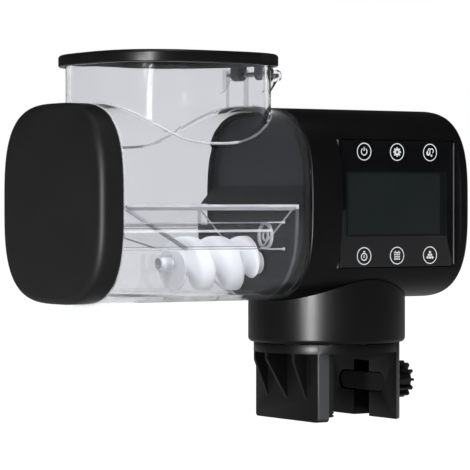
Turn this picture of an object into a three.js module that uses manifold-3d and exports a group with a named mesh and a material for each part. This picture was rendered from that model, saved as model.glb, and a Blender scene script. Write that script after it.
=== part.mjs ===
// Automatic fish feeder: a clear feed hopper beside a control housing, on a swivelling rim clamp.
// Millimetres, +Z up. +X runs from the end cap to the control housing, and -Y is the display side.
// The origin is on the swivel axis, in the face of the clamp that rests on the tank rim.

import * as THREE from "three";
import { mergeVertices } from "three/addons/utils/BufferGeometryUtils.js";
import Module from "manifold-3d";

const wasm = await Module();
wasm.setup();

// Clearances shared by all pieces
const gap = 0.3;
const runningGap = 0.5;
const overrun = 3;

// Body section, the same rounded square from the end cap to the far end of the housing
const bodyDepth = 86;
const bodyHeight = 85;
const sectionRoundShare = 0.32;
const circleRoundShare = 0.5;
const sectionSides = 40;
const roundSides = 20;
const smallSides = 8;
const roundingSteps = 2;

// Control housing
const housingLength = 86;
const housingWall = 2.4;
const housingEdgeRadius = 2.4;
const axisAboveCollarFoot = 62;

// Display panel
const panelFromAxis = 38.7;
const panelFromJoint = 48.3;
const recessLength = 65.4;
const lensLength = 61.6;
const lensHeight = 56;
const lensThickness = 1.6;
const backingWall = 2;
const displayLength = 54;
const displayHeight = 26.9;
const displayThickness = 3.6;
const keySpacing = 18.3;
const keyRise = 22.9;
const keyPadRadius = 2.6;
const keyColumnCount = 3;
const boardLength = 60;
const boardHeight = 52;
const boardThickness = 1.6;
const boardBossRadius = 2.8;
const boardBossInset = 3.4;
const boardBossHeight = 1.5;

// Small screws, all of one size
const screwRadius = 1.2;
const screwHeadRadius = 2.4;
const screwHeadHeight = 1.6;
const screwLength = 8;
const pilotDepth = 9;

// Hopper barrel, neck and lid
const barrelLength = 94;
const barrelWall = 2.2;
const neckLength = 80.6;
const neckDepth = 80;
const neckRoundShare = 0.333;
const neckFromJoint = 46.7;
const lidTopRise = 65.2;
const lidSkirtDrop = 5.9;
const lidPlate = 1.9;
const lidCrown = 0.7;
const lidWall = 2.4;
const lidEdgeRadius = 1.4;
const lidGasketThickness = 1.2;
const hingeFromNeck = 3.4;
const hingeRise = 56;
const hingePinRadius = 1;
const hingeKnuckleRadius = 2.6;
const hingeEarSpan = 40;
const hingeEarWidth = 3;
const hingeEarDrop = 8;
const hingeLugWidth = 6;
const hingeLugSpan = 26;

// End cap
const capLength = 12;
const capWall = 2.4;
const capEdgeRadius = 4;
const capCrown = 1;
const capLipReach = 2;
const capLipWall = 2;
const capSealWidth = 0.8;
const capSealLength = 1.6;
const barrelSealWidth = 1.6;
const barrelSealLength = 2;

// Bulkhead between hopper and housing
const bulkheadThickness = 3;
const ledgeRise = 8;
const ledgeReach = 7;
const clipSpacing = 32;
const clipWidth = 8;
const clipReach = 6;
const clipThickness = 2;
const clipLip = 1;

// Feed path: auger, trough, funnel and outlet
const augerDrop = 26;
const augerRadius = 11.8;
const augerCoreRadius = 5;
const augerPitch = 14.9;
const augerGroovePower = 3;
const augerPhaseTurns = 0.8;
const augerSteps = 12;
const augerSides = 16;
const augerLeftEnd = 45.4;
const augerRightEnd = 7.6;
const augerHubReach = 2.7;
const augerPinRadius = 2.6;
const augerPinReach = 3.4;
const tongueThickness = 2.4;
const tongueLength = 2;
const couplingLength = 3.4;
const spiderThickness = 1.7;
const spiderStandoff = 7;
const spiderRim = 1.6;
const spiderHubRadius = 4;
const spokeWidth = 2;
const spokeCount = 3;
const troughWall = 1.3;
const troughLeftEnd = 68;
const funnelDepth = 20;
const funnelSheet = 1.5;
const endPlateFromJoint = 5.7;
const endPlateThickness = 1.6;
const hopperTubeRadius = 5.9;
const hopperTubeWall = 1.1;
const hopperTubeDrop = 13.7;
const hopperTubeEnd = 18.3;
const hopperTubePinRadius = 1.4;
const hopperTubeSocketWall = 1.2;
const hopperTubeSocketReach = 6;
const outletLength = 24.4;
const outletWidth = 37;
const outletWall = 1.6;
const outletDrop = 3.2;

// Gear train between bulkhead and gear plate
const gearModule = 1;
const gearThickness = 5;
const gearBacklash = 0.35;
const gearAddendumShare = 0.85;
const gearDedendumShare = 1.15;
const gearRootWidthShare = 1.35;
const gearTipWidthShare = 0.62;
const driveTeeth = 24;
const idlerTeeth = 28;
const pinionTeeth = 10;
const idlerOffset = 8;
const gearStandoff = 1.5;
const gearPlateFromJoint = 12;
const gearPlateThickness = 2;
const gearPlateDepth = 60;
const gearPlateHeight = 61;
const gearPlateCentreY = 4;
const gearPlateCentreZ = -2.5;
const gearPlateCornerRadius = 5;
const postRadius = 3.2;
const postInset = 4.4;
const driveShaftRadius = 2.5;
const idlerAxleRadius = 1.5;
const motorShaftRadius = 1.1;
const motorRadius = 12;
const motorLength = 29;
const motorBellRadius = 5;
const motorBellLength = 2;
const motorScrewSpacing = 16;
const motorScrewHeadRadius = 1.8;
const shaftSealWidth = 2.7;

// Power inlet at the back of the housing
const inletFromJoint = 70;
const inletDrop = 22;
const inletRadius = 5.5;
const inletLength = 12;
const inletBoreRadius = 2.9;
const inletBoreDepth = 8;
const inletPinRadius = 1;

// Twin leads inside the housing
const wireRadius = 0.7;
const wireSpacing = 1.2;
const leadBend = 8;
const wireSteps = 8;
const wireSides = 8;

// Collar and swivel
const swivelFromJoint = 37.5;
const collarRadius = 35.5;
const collarWall = 2.4;
const collarEdgeRadius = 2;
const collarBossRadius = 3.6;
const collarBossSpacing = 31;
const swivelPostRadius = 7;
const swivelWasherRadius = 11;
const swivelWasherThickness = 1.2;
const swivelScrewRadius = 2;
const swivelScrewHeadRadius = 4;
const swivelScrewHeadHeight = 2.4;
const swivelFloor = 1.2;
const glideRadius = 28.5;
const glideWidth = 3;
const glideThickness = 1;

// Rim clamp
const discRadius = 33;
const discThickness = 4;
const jawOuterFace = 22;
const jawThickness = 5.9;
const jawWidth = 50;
const jawDepth = 30.2;
const jawCornerRadius = 2.2;
const finCount = 3;
const finSpacing = 15.4;
const finThickness = 1.8;
const finDepth = 20.6;
const finLip = 2.7;
const padBase = 1.7;
const padToothHeight = 0.9;
const padToothCount = 20;
const padSeatDepth = 0.6;
const armInnerFace = 19.5;
const slotWidth = 11.6;
const slotTopDrop = 4.9;
const slotDepth = 9.5;
const pocketWidth = 35.2;
const pocketHeight = 9.2;
const pocketDepth = 5.5;
const clampScrewDrop = 14.4;
const clampScrewRadius = 2.3;
const clampScrewEnd = 43.6;
const footThickness = 3.4;
const footPadThickness = 1;
const footWidth = 33.6;
const footHeight = 8.2;
const wheelRadius = 8.45;
const wheelRootRadius = 5.9;
const wheelThickness = 10.4;
const wheelLobeCount = 12;
const wheelLobeShare = 0.2;
const sleeveRadius = 4.4;
const retainerWidth = 1.4;
const retainerThickness = 1.2;
const retainerGroove = 0.8;

// Places worked out from the sizes above
const halfDepth = bodyDepth / 2;
const halfHeight = bodyHeight / 2;
const axisHeight = discThickness + gap + axisAboveCollarFoot;
const panelFace = -panelFromAxis;
const lensBack = panelFace + lensThickness;
const backingFront = lensBack + gap;
const backingRear = backingFront + backingWall;
const boardFront = backingRear + boardBossHeight + gap;
const boardRear = boardFront + boardThickness;
const funnelLeft = -barrelLength + gap;
const capRight = -barrelLength - gap;
const capLeft = capRight - capLength;
const capFloor = capLeft + capWall;
const capLipInset = barrelWall + runningGap;
const endPlateRight = -endPlateFromJoint;
const endPlateLeft = endPlateRight - endPlateThickness;
const troughRadius = augerRadius + runningGap;
const lidCeiling = lidTopRise - lidPlate - lidCrown;
const neckTop = lidCeiling - lidGasketThickness - 2 * gap;
const lidBottom = lidTopRise - lidSkirtDrop;
const neckCentre = [-neckFromJoint, 0];
const hingeX = -neckFromJoint + neckLength / 2 + hingeFromNeck;
const driveCentre = [0, -augerDrop];
const idlerCentre = meshedCentre(driveCentre, idlerOffset, driveTeeth + idlerTeeth);
const pinionCentre = meshedCentre(idlerCentre, idlerOffset, idlerTeeth + pinionTeeth);
const gearLeft = bulkheadThickness + gearStandoff;
const gearRight = gearLeft + gearThickness;
const gearPlateRight = gearPlateFromJoint + gearPlateThickness;
const hopperTubeY = -innerHalfDepthAt(-hopperTubeDrop, barrelWall) + hopperTubeRadius + runningGap;
const hopperTubeCentre = [hopperTubeY, -hopperTubeDrop];

// List made by a function of each index
function times(count, make) {
  return Array.from({ length: count }, (_, index) => make(index));
}

// Centre of a gear that meshes with another, at a given Y, above it
function meshedCentre(centre, y, teethTogether) {
  const distance = (teethTogether * gearModule) / 2;
  const rise = Math.sqrt(distance ** 2 - (y - centre[0]) ** 2);
  return [y, centre[1] + rise];
}

// Half depth of the body section at a height, inset from the outer surface
function innerHalfDepthAt(z, inset) {
  const power = 1 / sectionRoundShare;
  const share = Math.abs(z) / (halfHeight - inset);
  return (halfDepth - inset) * (1 - share ** power) ** sectionRoundShare;
}

// Half height of the body section at a depth, inset from the outer surface
function innerHalfHeightAt(y, inset) {
  const power = 1 / sectionRoundShare;
  const share = Math.abs(y) / (halfDepth - inset);
  return (halfHeight - inset) * (1 - share ** power) ** sectionRoundShare;
}

// Points of a rounded square, from a square-like to a round outline
function roundedSquare(halfU, halfV, roundShare, sides, centre = [0, 0]) {
  const power = 1 / roundShare;
  return times(sides, (index) => {
    const angle = (2 * Math.PI * index) / sides;
    const u = Math.cos(angle);
    const v = Math.sin(angle);
    const reach = (Math.abs(u / halfU) ** power + Math.abs(v / halfV) ** power) ** -roundShare;
    return [centre[0] + reach * u, centre[1] + reach * v];
  });
}

// Points of the body section, inset from the outer surface
function bodySection(inset) {
  return roundedSquare(halfDepth - inset, halfHeight - inset, sectionRoundShare, sectionSides);
}

// Points of a rectangle with round corners
function roundedRectangle(halfU, halfV, radius, centre = [0, 0]) {
  const corners = [[1, 1], [-1, 1], [-1, -1], [1, -1]];
  return corners.flatMap(([signU, signV], corner) =>
    times(roundingSteps + 1, (step) => {
      const angle = ((corner + step / roundingSteps) * Math.PI) / 2;
      const u = signU * (halfU - radius) + radius * Math.cos(angle);
      const v = signV * (halfV - radius) + radius * Math.sin(angle);
      return [centre[0] + u, centre[1] + v];
    }));
}

// Closed geometry as a solid that can be cut and joined
function toSolid(geometry) {
  geometry.deleteAttribute("normal");
  geometry.deleteAttribute("uv");
  const merged = mergeVertices(geometry);
  return new wasm.Manifold(new wasm.Mesh({
    numProp: 3,
    vertProperties: new Float32Array(merged.attributes.position.array),
    triVerts: new Uint32Array(merged.index.array),
  }));
}

// An outline drawn in the two axes after the named one, and extruded along the named one
const layAlong = {
  x: new THREE.Matrix4().set(0, 0, 1, 0, 1, 0, 0, 0, 0, 1, 0, 0, 0, 0, 0, 1),
  y: new THREE.Matrix4().set(1, 0, 0, 0, 0, 0, -1, 0, 0, 1, 0, 0, 0, 0, 0, 1),
  z: new THREE.Matrix4(),
};

// Prism along an axis: outlines are [y, z] along x, [x, z] along y and [x, y] along z
function prism(axis, outline, from, to) {
  const shape = new THREE.Shape(outline.map(([u, v]) => new THREE.Vector2(u, v)));
  const geometry = new THREE.ExtrudeGeometry(shape, { depth: to - from, bevelEnabled: false });
  geometry.translate(0, 0, axis === "y" ? -to : from);
  return toSolid(geometry.applyMatrix4(layAlong[axis]));
}

// Round bar along an axis, its centre given in the other two axes
function rod(axis, radius, from, to, centre = [0, 0], sides = roundSides) {
  return prism(axis, roundedSquare(radius, radius, circleRoundShare, sides, centre), from, to);
}

// Round tube along an axis
function tube(axis, outer, inner, from, to, centre = [0, 0], sides = roundSides) {
  return rod(axis, outer, from, to, centre, sides)
    .subtract(rod(axis, inner, from - overrun, to + overrun, centre, sides));
}

// Block between two places on each axis
function block(xs, ys, zs) {
  const geometry = new THREE.BoxGeometry(xs[1] - xs[0], ys[1] - ys[0], zs[1] - zs[0]);
  geometry.translate((xs[0] + xs[1]) / 2, (ys[0] + ys[1]) / 2, (zs[0] + zs[1]) / 2);
  return toSolid(geometry);
}

// Solid through stacked rings of points, closed by a fan at each end
function loft(axis, rings) {
  const sides = rings[0].outline.length;
  const points = rings.flatMap(({ at, outline }) => outline.map(([u, v]) => [u, v, at]));
  const triangles = [];
  for (let band = 0; band < rings.length - 1; band += 1) {
    const low = band * sides;
    const high = low + sides;
    for (let side = 0; side < sides; side += 1) {
      const next = (side + 1) % sides;
      triangles.push(low + side, low + next, high + next, low + side, high + next, high + side);
    }
  }
  closeEnd(rings[0], 0, true, points, triangles);
  closeEnd(rings.at(-1), (rings.length - 1) * sides, false, points, triangles);
  const geometry = new THREE.BufferGeometry();
  geometry.setAttribute("position", new THREE.Float32BufferAttribute(points.flat(), 3));
  geometry.setIndex(triangles);
  return toSolid(geometry.applyMatrix4(layAlong[axis]));
}

// Fan of triangles over the first or last ring of a loft
function closeEnd(ring, first, facesBack, points, triangles) {
  const sides = ring.outline.length;
  const middle = points.length;
  const centre = [0, 1].map((part) => ring.outline.reduce((sum, point) => sum + point[part], 0) / sides);
  points.push([...centre, ring.at]);
  for (let side = 0; side < sides; side += 1) {
    const pair = [first + side, first + ((side + 1) % sides)];
    triangles.push(middle, ...(facesBack ? pair.reverse() : pair));
  }
}

// Steps of a quarter round: [share of the radius along, share of the radius inwards]
const quarterRoundShares = times(roundingSteps + 1, (step) => {
  const angle = ((step / roundingSteps) * Math.PI) / 2;
  return [Math.sin(angle), 1 - Math.cos(angle)];
});

// Material of a finish
function finish(color, roughness, metalness = 0, opacity = 1) {
  return { color, roughness, metalness, opacity, transparent: opacity < 1 };
}
const satinBlack = finish(0x1c1e20, 0.42);
const housingBlack = finish(0x17191b, 0.3);
const wallGrey = finish(0x3b3c41, 0.5);
const glossBlack = finish(0x15181d, 0.08);
const clampGrey = finish(0x303235, 0.5);
const clearPlastic = finish(0xe4e8ea, 0.06, 0, 0.3);
const whitePlastic = finish(0xf0f0ee, 0.4);
const rubberBlack = finish(0x121212, 0.85);
const steel = finish(0xa8abae, 0.3, 1);
const displayGlass = finish(0x222726, 0.2);
const boardGreen = finish(0x1d4a32, 0.5);
const wireRed = finish(0x8c1f1c, 0.5);

// Groups: the clamp stands at the origin, and the head turns above it on the swivel axis
const feeder = new THREE.Group();
const head = new THREE.Group();
head.position.set(-swivelFromJoint, 0, axisHeight);
feeder.add(head);

// Adds a solid to a group as a named mesh
function addPiece(group, name, solid, look) {
  const mesh = solid.getMesh();
  const geometry = new THREE.BufferGeometry();
  geometry.setAttribute("position", new THREE.Float32BufferAttribute(mesh.vertProperties, 3));
  geometry.setIndex([...mesh.triVerts]);
  geometry.computeVertexNormals();
  const piece = new THREE.Mesh(geometry, new THREE.MeshStandardMaterial(look));
  piece.name = name;
  group.add(piece);
}

// Adds like pieces as numbered meshes
function addPieces(group, name, solids, look) {
  solids.forEach((solid, index) => addPiece(group, `${name}_${index + 1}`, solid, look));
}

// Joins a list of solids into one
function joined(solids) {
  return solids.reduce((all, one) => all.add(one));
}

// Cuts each of a list of solids from a body
function cutBy(body, solids) {
  return solids.reduce((rest, one) => rest.subtract(one), body);
}

// The two sides of the body's middle plane
const mirrored = [-1, 1];

// Screw along an axis, its head's seat at a place, pointing the way of the sign
function screw(axis, seat, sign, centre, radius = screwRadius, headRadius = screwHeadRadius,
  headHeight = screwHeadHeight, length = screwLength) {
  const tip = seat + sign * length;
  const top = seat - sign * headHeight;
  const shank = rod(axis, radius, Math.min(top, tip), Math.max(top, tip), centre, smallSides);
  return shank.add(rod(axis, headRadius, Math.min(seat, top), Math.max(seat, top), centre, smallSides));
}

// Clearance or pilot hole along an axis
function hole(axis, radius, from, to, centre) {
  return rod(axis, radius + gap, Math.min(from, to), Math.max(from, to), centre, smallSides);
}

// Rim clamp

function clampFrame() {
  const jawOutline = roundedRectangle(jawWidth / 2, jawDepth, jawCornerRadius);
  const discCylinder = rod("z", discRadius, -jawDepth, discThickness, [0, 0], sectionSides);
  const jaw = prism("x", jawOutline, -jawOuterFace, -jawOuterFace + jawThickness);
  const arm = prism("x", roundedRectangle(discRadius, jawDepth, jawCornerRadius), armInnerFace, discRadius);
  const disc = rod("z", discRadius, 0, discThickness, [0, 0], sectionSides);
  const body = disc.add(jaw).add(arm).add(clampFins()).intersect(discCylinder);
  const post = rod("z", swivelPostRadius, discThickness, discThickness + collarWall + 3 * gap);
  return body.add(post)
    .subtract(padSeat())
    .subtract(armSlot())
    .subtract(armPocket())
    .subtract(rod("x", sleeveRadius + gap, armInnerFace, discRadius + overrun, [0, -clampScrewDrop]))
    .subtract(hole("z", swivelScrewRadius, swivelFloor, discThickness + collarWall + overrun, [0, 0]))
    .subtract(glideGroove());
}

function clampFins() {
  const fins = times(finCount, (index) => {
    const y = (index - (finCount - 1) / 2) * finSpacing;
    const reach = Math.sqrt(discRadius ** 2 - y ** 2);
    const outline = [[-jawOuterFace, 0], [-reach, 0], [-reach, -finLip], [-jawOuterFace, -finDepth]];
    return prism("y", outline, y - finThickness / 2, y + finThickness / 2);
  });
  return joined(fins);
}

// Shallow groove in the disc above the jaw's pad, so that the tank rim meets a plain face
function padSeat() {
  const jawFace = -jawOuterFace + jawThickness;
  const halfSeat = jawWidth / 2 + gap;
  return block([jawFace, jawFace + padBase + padToothHeight + gap], [-halfSeat, halfSeat],
    [-overrun, padSeatDepth]);
}

function armSlot() {
  const halfSlot = slotWidth / 2;
  return block([armInnerFace - overrun, armInnerFace + slotDepth], [-halfSlot, halfSlot],
    [-jawDepth - overrun, -slotTopDrop]);
}

function armPocket() {
  const outline = roundedRectangle(pocketWidth / 2, pocketHeight / 2, pocketHeight / 2, [0, -clampScrewDrop]);
  return prism("x", outline, armInnerFace - overrun, armInnerFace + pocketDepth);
}

function glideGroove() {
  return tube("z", glideRadius + glideWidth / 2 + gap, glideRadius - glideWidth / 2 - gap,
    discThickness - glideThickness, discThickness + overrun, [0, 0], sectionSides);
}

function glideRing() {
  return tube("z", glideRadius + glideWidth / 2, glideRadius - glideWidth / 2,
    discThickness - glideThickness + gap, discThickness, [0, 0], sectionSides);
}

// Toothed rubber face of the fixed jaw
function jawPad() {
  const back = -jawOuterFace + jawThickness + gap;
  const root = back + padBase - gap;
  const tip = root + padToothHeight;
  const low = -jawDepth + jawCornerRadius;
  const pitch = -(low + gap) / padToothCount;
  const teeth = times(padToothCount, (index) => [
    [tip, low + (index + 1 / 2) * pitch],
    [root, low + (index + 1) * pitch],
  ]).flat();
  const outline = [[back, low], [root, low], ...teeth, [back, low + padToothCount * pitch]];
  return prism("y", outline, -jawWidth / 2, jawWidth / 2);
}

function thumbWheel() {
  const inner = discRadius + gap;
  const sides = wheelLobeCount * 8;
  const outline = times(sides, (index) => {
    const angle = (2 * Math.PI * index) / sides;
    const lobe = Math.cos(wheelLobeCount * angle) > 1 - 2 * wheelLobeShare;
    const radius = lobe ? wheelRadius : wheelRootRadius;
    return [radius * Math.cos(angle), radius * Math.sin(angle) - clampScrewDrop];
  });
  const retainerAt = retainerPlace();
  const sleeveEnd = retainerAt - retainerThickness;
  const groove = tube("x", sleeveRadius + overrun, sleeveRadius - retainerGroove,
    retainerAt - gap, retainerAt + retainerThickness + gap, [0, -clampScrewDrop]);
  return prism("x", outline, inner, inner + wheelThickness)
    .add(rod("x", sleeveRadius, sleeveEnd, inner + gap, [0, -clampScrewDrop]).subtract(groove))
    .subtract(hole("x", clampScrewRadius, sleeveEnd - overrun, inner + wheelThickness + overrun,
      [0, -clampScrewDrop]));
}

// Left face of the ring that keeps the thumb wheel's sleeve in the arm
function retainerPlace() {
  return armInnerFace + slotDepth - gap - retainerThickness;
}

function wheelRetainer() {
  const inner = sleeveRadius - retainerGroove + gap;
  return tube("x", sleeveRadius + retainerWidth / 2, inner, retainerPlace(),
    retainerPlace() + retainerThickness, [0, -clampScrewDrop]);
}

function pressureFoot() {
  const back = armInnerFace + pocketDepth - runningGap;
  const front = back - footThickness;
  const outline = roundedRectangle(footWidth / 2, footHeight / 2, footHeight / 2, [0, -clampScrewDrop]);
  return prism("x", outline, front, back)
    .subtract(hole("x", clampScrewRadius, (front + back) / 2, back + overrun, [0, -clampScrewDrop]));
}

function footPad() {
  const back = armInnerFace + pocketDepth - runningGap - footThickness - gap;
  const outline = roundedRectangle(footWidth / 2, footHeight / 2, footHeight / 2, [0, -clampScrewDrop]);
  return prism("x", outline, back - footPadThickness, back);
}

function clampScrew() {
  const footBack = armInnerFace + pocketDepth - runningGap;
  const inside = footBack - footThickness / 2 + gap;
  return rod("x", clampScrewRadius, inside, clampScrewEnd, [0, -clampScrewDrop], smallSides);
}

function swivelWasher() {
  const seat = discThickness + collarWall + 3 * gap + gap;
  return tube("z", swivelWasherRadius, swivelScrewRadius + gap, seat, seat + swivelWasherThickness);
}

function swivelScrew() {
  const seat = discThickness + collarWall + 4 * gap + swivelWasherThickness + gap;
  return screw("z", seat, -1, [0, 0], swivelScrewRadius, swivelScrewHeadRadius, swivelScrewHeadHeight,
    seat - swivelFloor - gap);
}

addPiece(feeder, "clamp_frame", clampFrame(), clampGrey);
addPiece(feeder, "jaw_pad", jawPad(), rubberBlack);
addPiece(feeder, "thumb_wheel", thumbWheel(), satinBlack);
addPiece(feeder, "wheel_retainer", wheelRetainer(), steel);
addPiece(feeder, "pressure_foot", pressureFoot(), clampGrey);
addPiece(feeder, "foot_pad", footPad(), rubberBlack);
addPiece(feeder, "clamp_screw", clampScrew(), steel);
addPiece(feeder, "swivel_glide_ring", glideRing(), whitePlastic);
addPiece(feeder, "swivel_washer", swivelWasher(), steel);
addPiece(feeder, "swivel_screw", swivelScrew(), steel);

// Collar under the housing

const collarCentre = [swivelFromJoint, 0];
const collarFoot = -axisAboveCollarFoot;
const collarBossPlaces = mirrored.flatMap((signX) => mirrored.map((signY) =>
  [swivelFromJoint + (signX * collarBossSpacing) / 2, (signY * collarBossSpacing) / 2]));

function collar() {
  const foot = quarterRoundShares.toReversed().map(([along, inwards]) => ({
    at: collarFoot + collarEdgeRadius * (1 - along),
    outline: circle(collarRadius - collarEdgeRadius * inwards),
  }));
  const outer = loft("z", [...foot, { at: 0, outline: circle(collarRadius) }]);
  const hollow = rod("z", collarRadius - collarWall, collarFoot + collarWall, overrun, collarCentre,
    sectionSides);
  const bosses = collarBossPlaces.map((place) =>
    rod("z", collarBossRadius, collarFoot + collarWall / 2, 0, place, smallSides));
  const pilots = collarBossPlaces.map((place) =>
    hole("z", screwRadius, screwSeat(place[1]) - pilotDepth, 0, place));
  const housingSpace = prism("x", bodySection(-gap), -overrun, housingLength + overrun);
  const postHole = rod("z", swivelPostRadius + runningGap, collarFoot - overrun,
    collarFoot + collarWall + overrun, collarCentre);
  return cutBy(joined([outer.subtract(hollow), ...bosses]), [...pilots, housingSpace, postHole]);
}

function circle(radius) {
  return roundedSquare(radius, radius, circleRoundShare, sectionSides, collarCentre);
}

// Seat of a collar screw's head on the housing's inner floor
function screwSeat(y) {
  return -innerHalfHeightAt(Math.abs(y) + screwHeadRadius, housingWall) + gap;
}

function collarScrews() {
  return collarBossPlaces.map((place) => screw("z", screwSeat(place[1]), -1, place));
}

addPiece(head, "collar", collar(), clampGrey);
addPieces(head, "collar_screw", collarScrews(), steel);

// Housing

const recessSpan = [panelFromJoint - recessLength / 2, panelFromJoint + recessLength / 2];
const lensSpan = [panelFromJoint - lensLength / 2, panelFromJoint + lensLength / 2];
const lensHalfHeight = lensHeight / 2;
const keyPlaces = times(keyColumnCount, (index) =>
  panelFromJoint + (index - (keyColumnCount - 1) / 2) * keySpacing)
  .flatMap((x) => mirrored.map((sign) => [x, sign * keyRise]));
const boardScrewPlaces = mirrored.flatMap((signX) => mirrored.map((signZ) => [
  panelFromJoint + signX * (boardLength / 2 - boardBossInset),
  signZ * (boardHeight / 2 - boardBossInset),
]));

function housingShell() {
  const rightEdge = quarterRoundShares.map(([along, inwards]) => ({
    at: housingLength - housingEdgeRadius * (1 - along),
    outline: bodySection(housingEdgeRadius * inwards),
  }));
  const outer = loft("x", [{ at: 0, outline: bodySection(0) }, ...rightEdge]);
  const cavity = prism("x", bodySection(housingWall), -overrun, housingLength - housingWall)
    .subtract(block([recessSpan[0] - housingWall, recessSpan[1] + housingWall], [-halfDepth, backingRear],
      [-halfHeight, halfHeight]));
  const recess = block(recessSpan, [-halfDepth - overrun, panelFace], [-halfHeight, halfHeight]);
  const seat = block([lensSpan[0] - gap, lensSpan[1] + gap], [panelFace - overrun, backingFront],
    [-lensHalfHeight - gap, lensHalfHeight + gap]);
  const window = block([panelFromJoint - displayLength / 2 - gap, panelFromJoint + displayLength / 2 + gap],
    [panelFace, backingRear + overrun], [-displayHeight / 2 - gap, displayHeight / 2 + gap]);
  const inletHole = rod("y", inletRadius + gap, 0, halfDepth + overrun, [inletFromJoint, -inletDrop]);
  const body = joined([cutBy(outer, [cavity, recess, seat]), ...boardBosses()]);
  return cutBy(body,
    [window, inletHole, ...keyHoles(), ...boardPilots(), ...clipPockets(), ...collarScrewHoles()]);
}

function boardBosses() {
  return boardScrewPlaces.map((place) =>
    rod("y", boardBossRadius, backingRear - gap, boardFront - gap, place, smallSides));
}

function boardPilots() {
  return boardScrewPlaces.map((place) =>
    hole("y", screwRadius, backingFront + gap, boardFront + overrun, place));
}

function keyHoles() {
  return keyPlaces.map((place) => hole("y", keyPadRadius, panelFace, backingRear + overrun, place));
}

function collarScrewHoles() {
  return collarBossPlaces.map((place) =>
    hole("z", screwRadius, -halfHeight - overrun, screwSeat(place[1]) + overrun, place));
}

// Snap clips of the bulkhead: each at a place in Y, above or below
const clipPlaces = mirrored.flatMap((signY) => mirrored.map((signZ) => [(signY * clipSpacing) / 2, signZ]));

function clipSolid(y, sign, grow) {
  const wall = innerHalfHeightAt(Math.abs(y) + clipWidth / 2, housingWall) - gap;
  const ys = [y - clipWidth / 2 - grow, y + clipWidth / 2 + grow];
  const heights = (low, high) => (sign > 0 ? [low, high] : [-high, -low]);
  const arm = block([bulkheadThickness - gap, bulkheadThickness + clipReach], ys,
    heights(wall - clipThickness, wall));
  const lipEnd = bulkheadThickness + clipReach;
  const lip = block([lipEnd - clipThickness - grow, lipEnd + grow], ys,
    heights(wall - gap, wall + gap + clipLip + grow));
  return { arm, lip };
}

function clipPockets() {
  return clipPlaces.map(([y, sign]) => clipSolid(y, sign, gap).lip);
}

function bulkhead() {
  const inset = housingWall + gap;
  const plate = prism("x", bodySection(inset), 0, bulkheadThickness);
  const ledgeOutline = [[gap, 0], [gap, ledgeRise], [0, ledgeRise], [-ledgeReach, 0]];
  const ledge = prism("y", ledgeOutline, -halfDepth, halfDepth)
    .intersect(prism("x", bodySection(barrelWall + barrelSealWidth + 2 * gap), -ledgeReach, gap));
  const clips = clipPlaces.map(([y, sign]) => clipSolid(y, sign, 0));
  const posts = gearPostPlaces().map((place) =>
    rod("x", postRadius, bulkheadThickness - gap, gearPlateFromJoint - gap, place, smallSides));
  const pilots = gearPostPlaces().map((place) =>
    hole("x", screwRadius, gearPlateRight - pilotDepth, gearPlateRight, place));
  const axleBoss = rod("x", idlerAxleRadius * 2, bulkheadThickness - gap, gearLeft - gap, idlerCentre,
    smallSides);
  const axleHole = hole("x", idlerAxleRadius, bulkheadThickness / 2, gearRight, idlerCentre);
  const sealHole = rod("x", driveShaftRadius + shaftSealWidth + 2 * gap, -overrun,
    bulkheadThickness + overrun, driveCentre);
  const solids = [plate, ledge, axleBoss, ...posts, ...clips.flatMap(({ arm, lip }) => [arm, lip])];
  return cutBy(joined(solids), [...pilots, axleHole, sealHole]);
}

addPiece(head, "housing_shell", housingShell(), housingBlack);
addPiece(head, "bulkhead", bulkhead(), wallGrey);

// Display panel

addPiece(head, "panel_lens",
  block(lensSpan, [panelFace, lensBack], [-lensHalfHeight, lensHalfHeight]), glossBlack);

addPiece(head, "display",
  block([panelFromJoint - displayLength / 2, panelFromJoint + displayLength / 2],
    [boardFront - gap - displayThickness, boardFront - gap], [-displayHeight / 2, displayHeight / 2]),
  displayGlass);

// Conductive rubber strips: one above and one below the display, with a pad behind each touch key
function touchStrips() {
  return mirrored.map((sign) => {
    const pads = keyPlaces
      .filter(([, z]) => Math.sign(z) === sign)
      .map((place) => rod("y", keyPadRadius, backingFront, boardFront - gap, place, smallSides));
    const web = block([panelFromJoint - keySpacing, panelFromJoint + keySpacing],
      [backingRear + gap, boardFront - gap],
      [sign * keyRise - keyPadRadius / 2, sign * keyRise + keyPadRadius / 2]);
    return joined([...pads, web]);
  });
}

function controlBoard() {
  const outline = roundedRectangle(boardLength / 2, boardHeight / 2, boardBossInset / 2, [panelFromJoint, 0]);
  const holes = boardScrewPlaces.map((place) =>
    hole("y", screwRadius, boardFront - overrun, boardRear + overrun, place));
  return cutBy(prism("y", outline, boardFront, boardRear), holes);
}

function boardScrews() {
  const length = boardThickness + boardBossHeight + backingWall;
  return boardScrewPlaces.map((place) =>
    screw("y", boardRear + gap, -1, place, screwRadius, screwHeadRadius, screwHeadHeight, length));
}

addPieces(head, "touch_strip", touchStrips(), rubberBlack);
addPiece(head, "control_board", controlBoard(), boardGreen);
addPieces(head, "board_screw", boardScrews(), steel);

// Power inlet

function powerInlet() {
  const centre = [inletFromJoint, -inletDrop];
  const mouth = innerHalfDepthAt(inletDrop, 0);
  const barrel = rod("y", inletRadius, mouth - inletLength, mouth, centre, smallSides * 2);
  const bore = rod("y", inletBoreRadius, mouth - inletBoreDepth, mouth + overrun, centre, smallSides);
  return barrel.subtract(bore).add(rod("y", inletPinRadius, mouth - inletLength / 2 - inletBoreDepth / 2,
    mouth - inletPinRadius, centre, smallSides));
}

addPiece(head, "power_inlet", powerInlet(), satinBlack);

// Gear train

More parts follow.
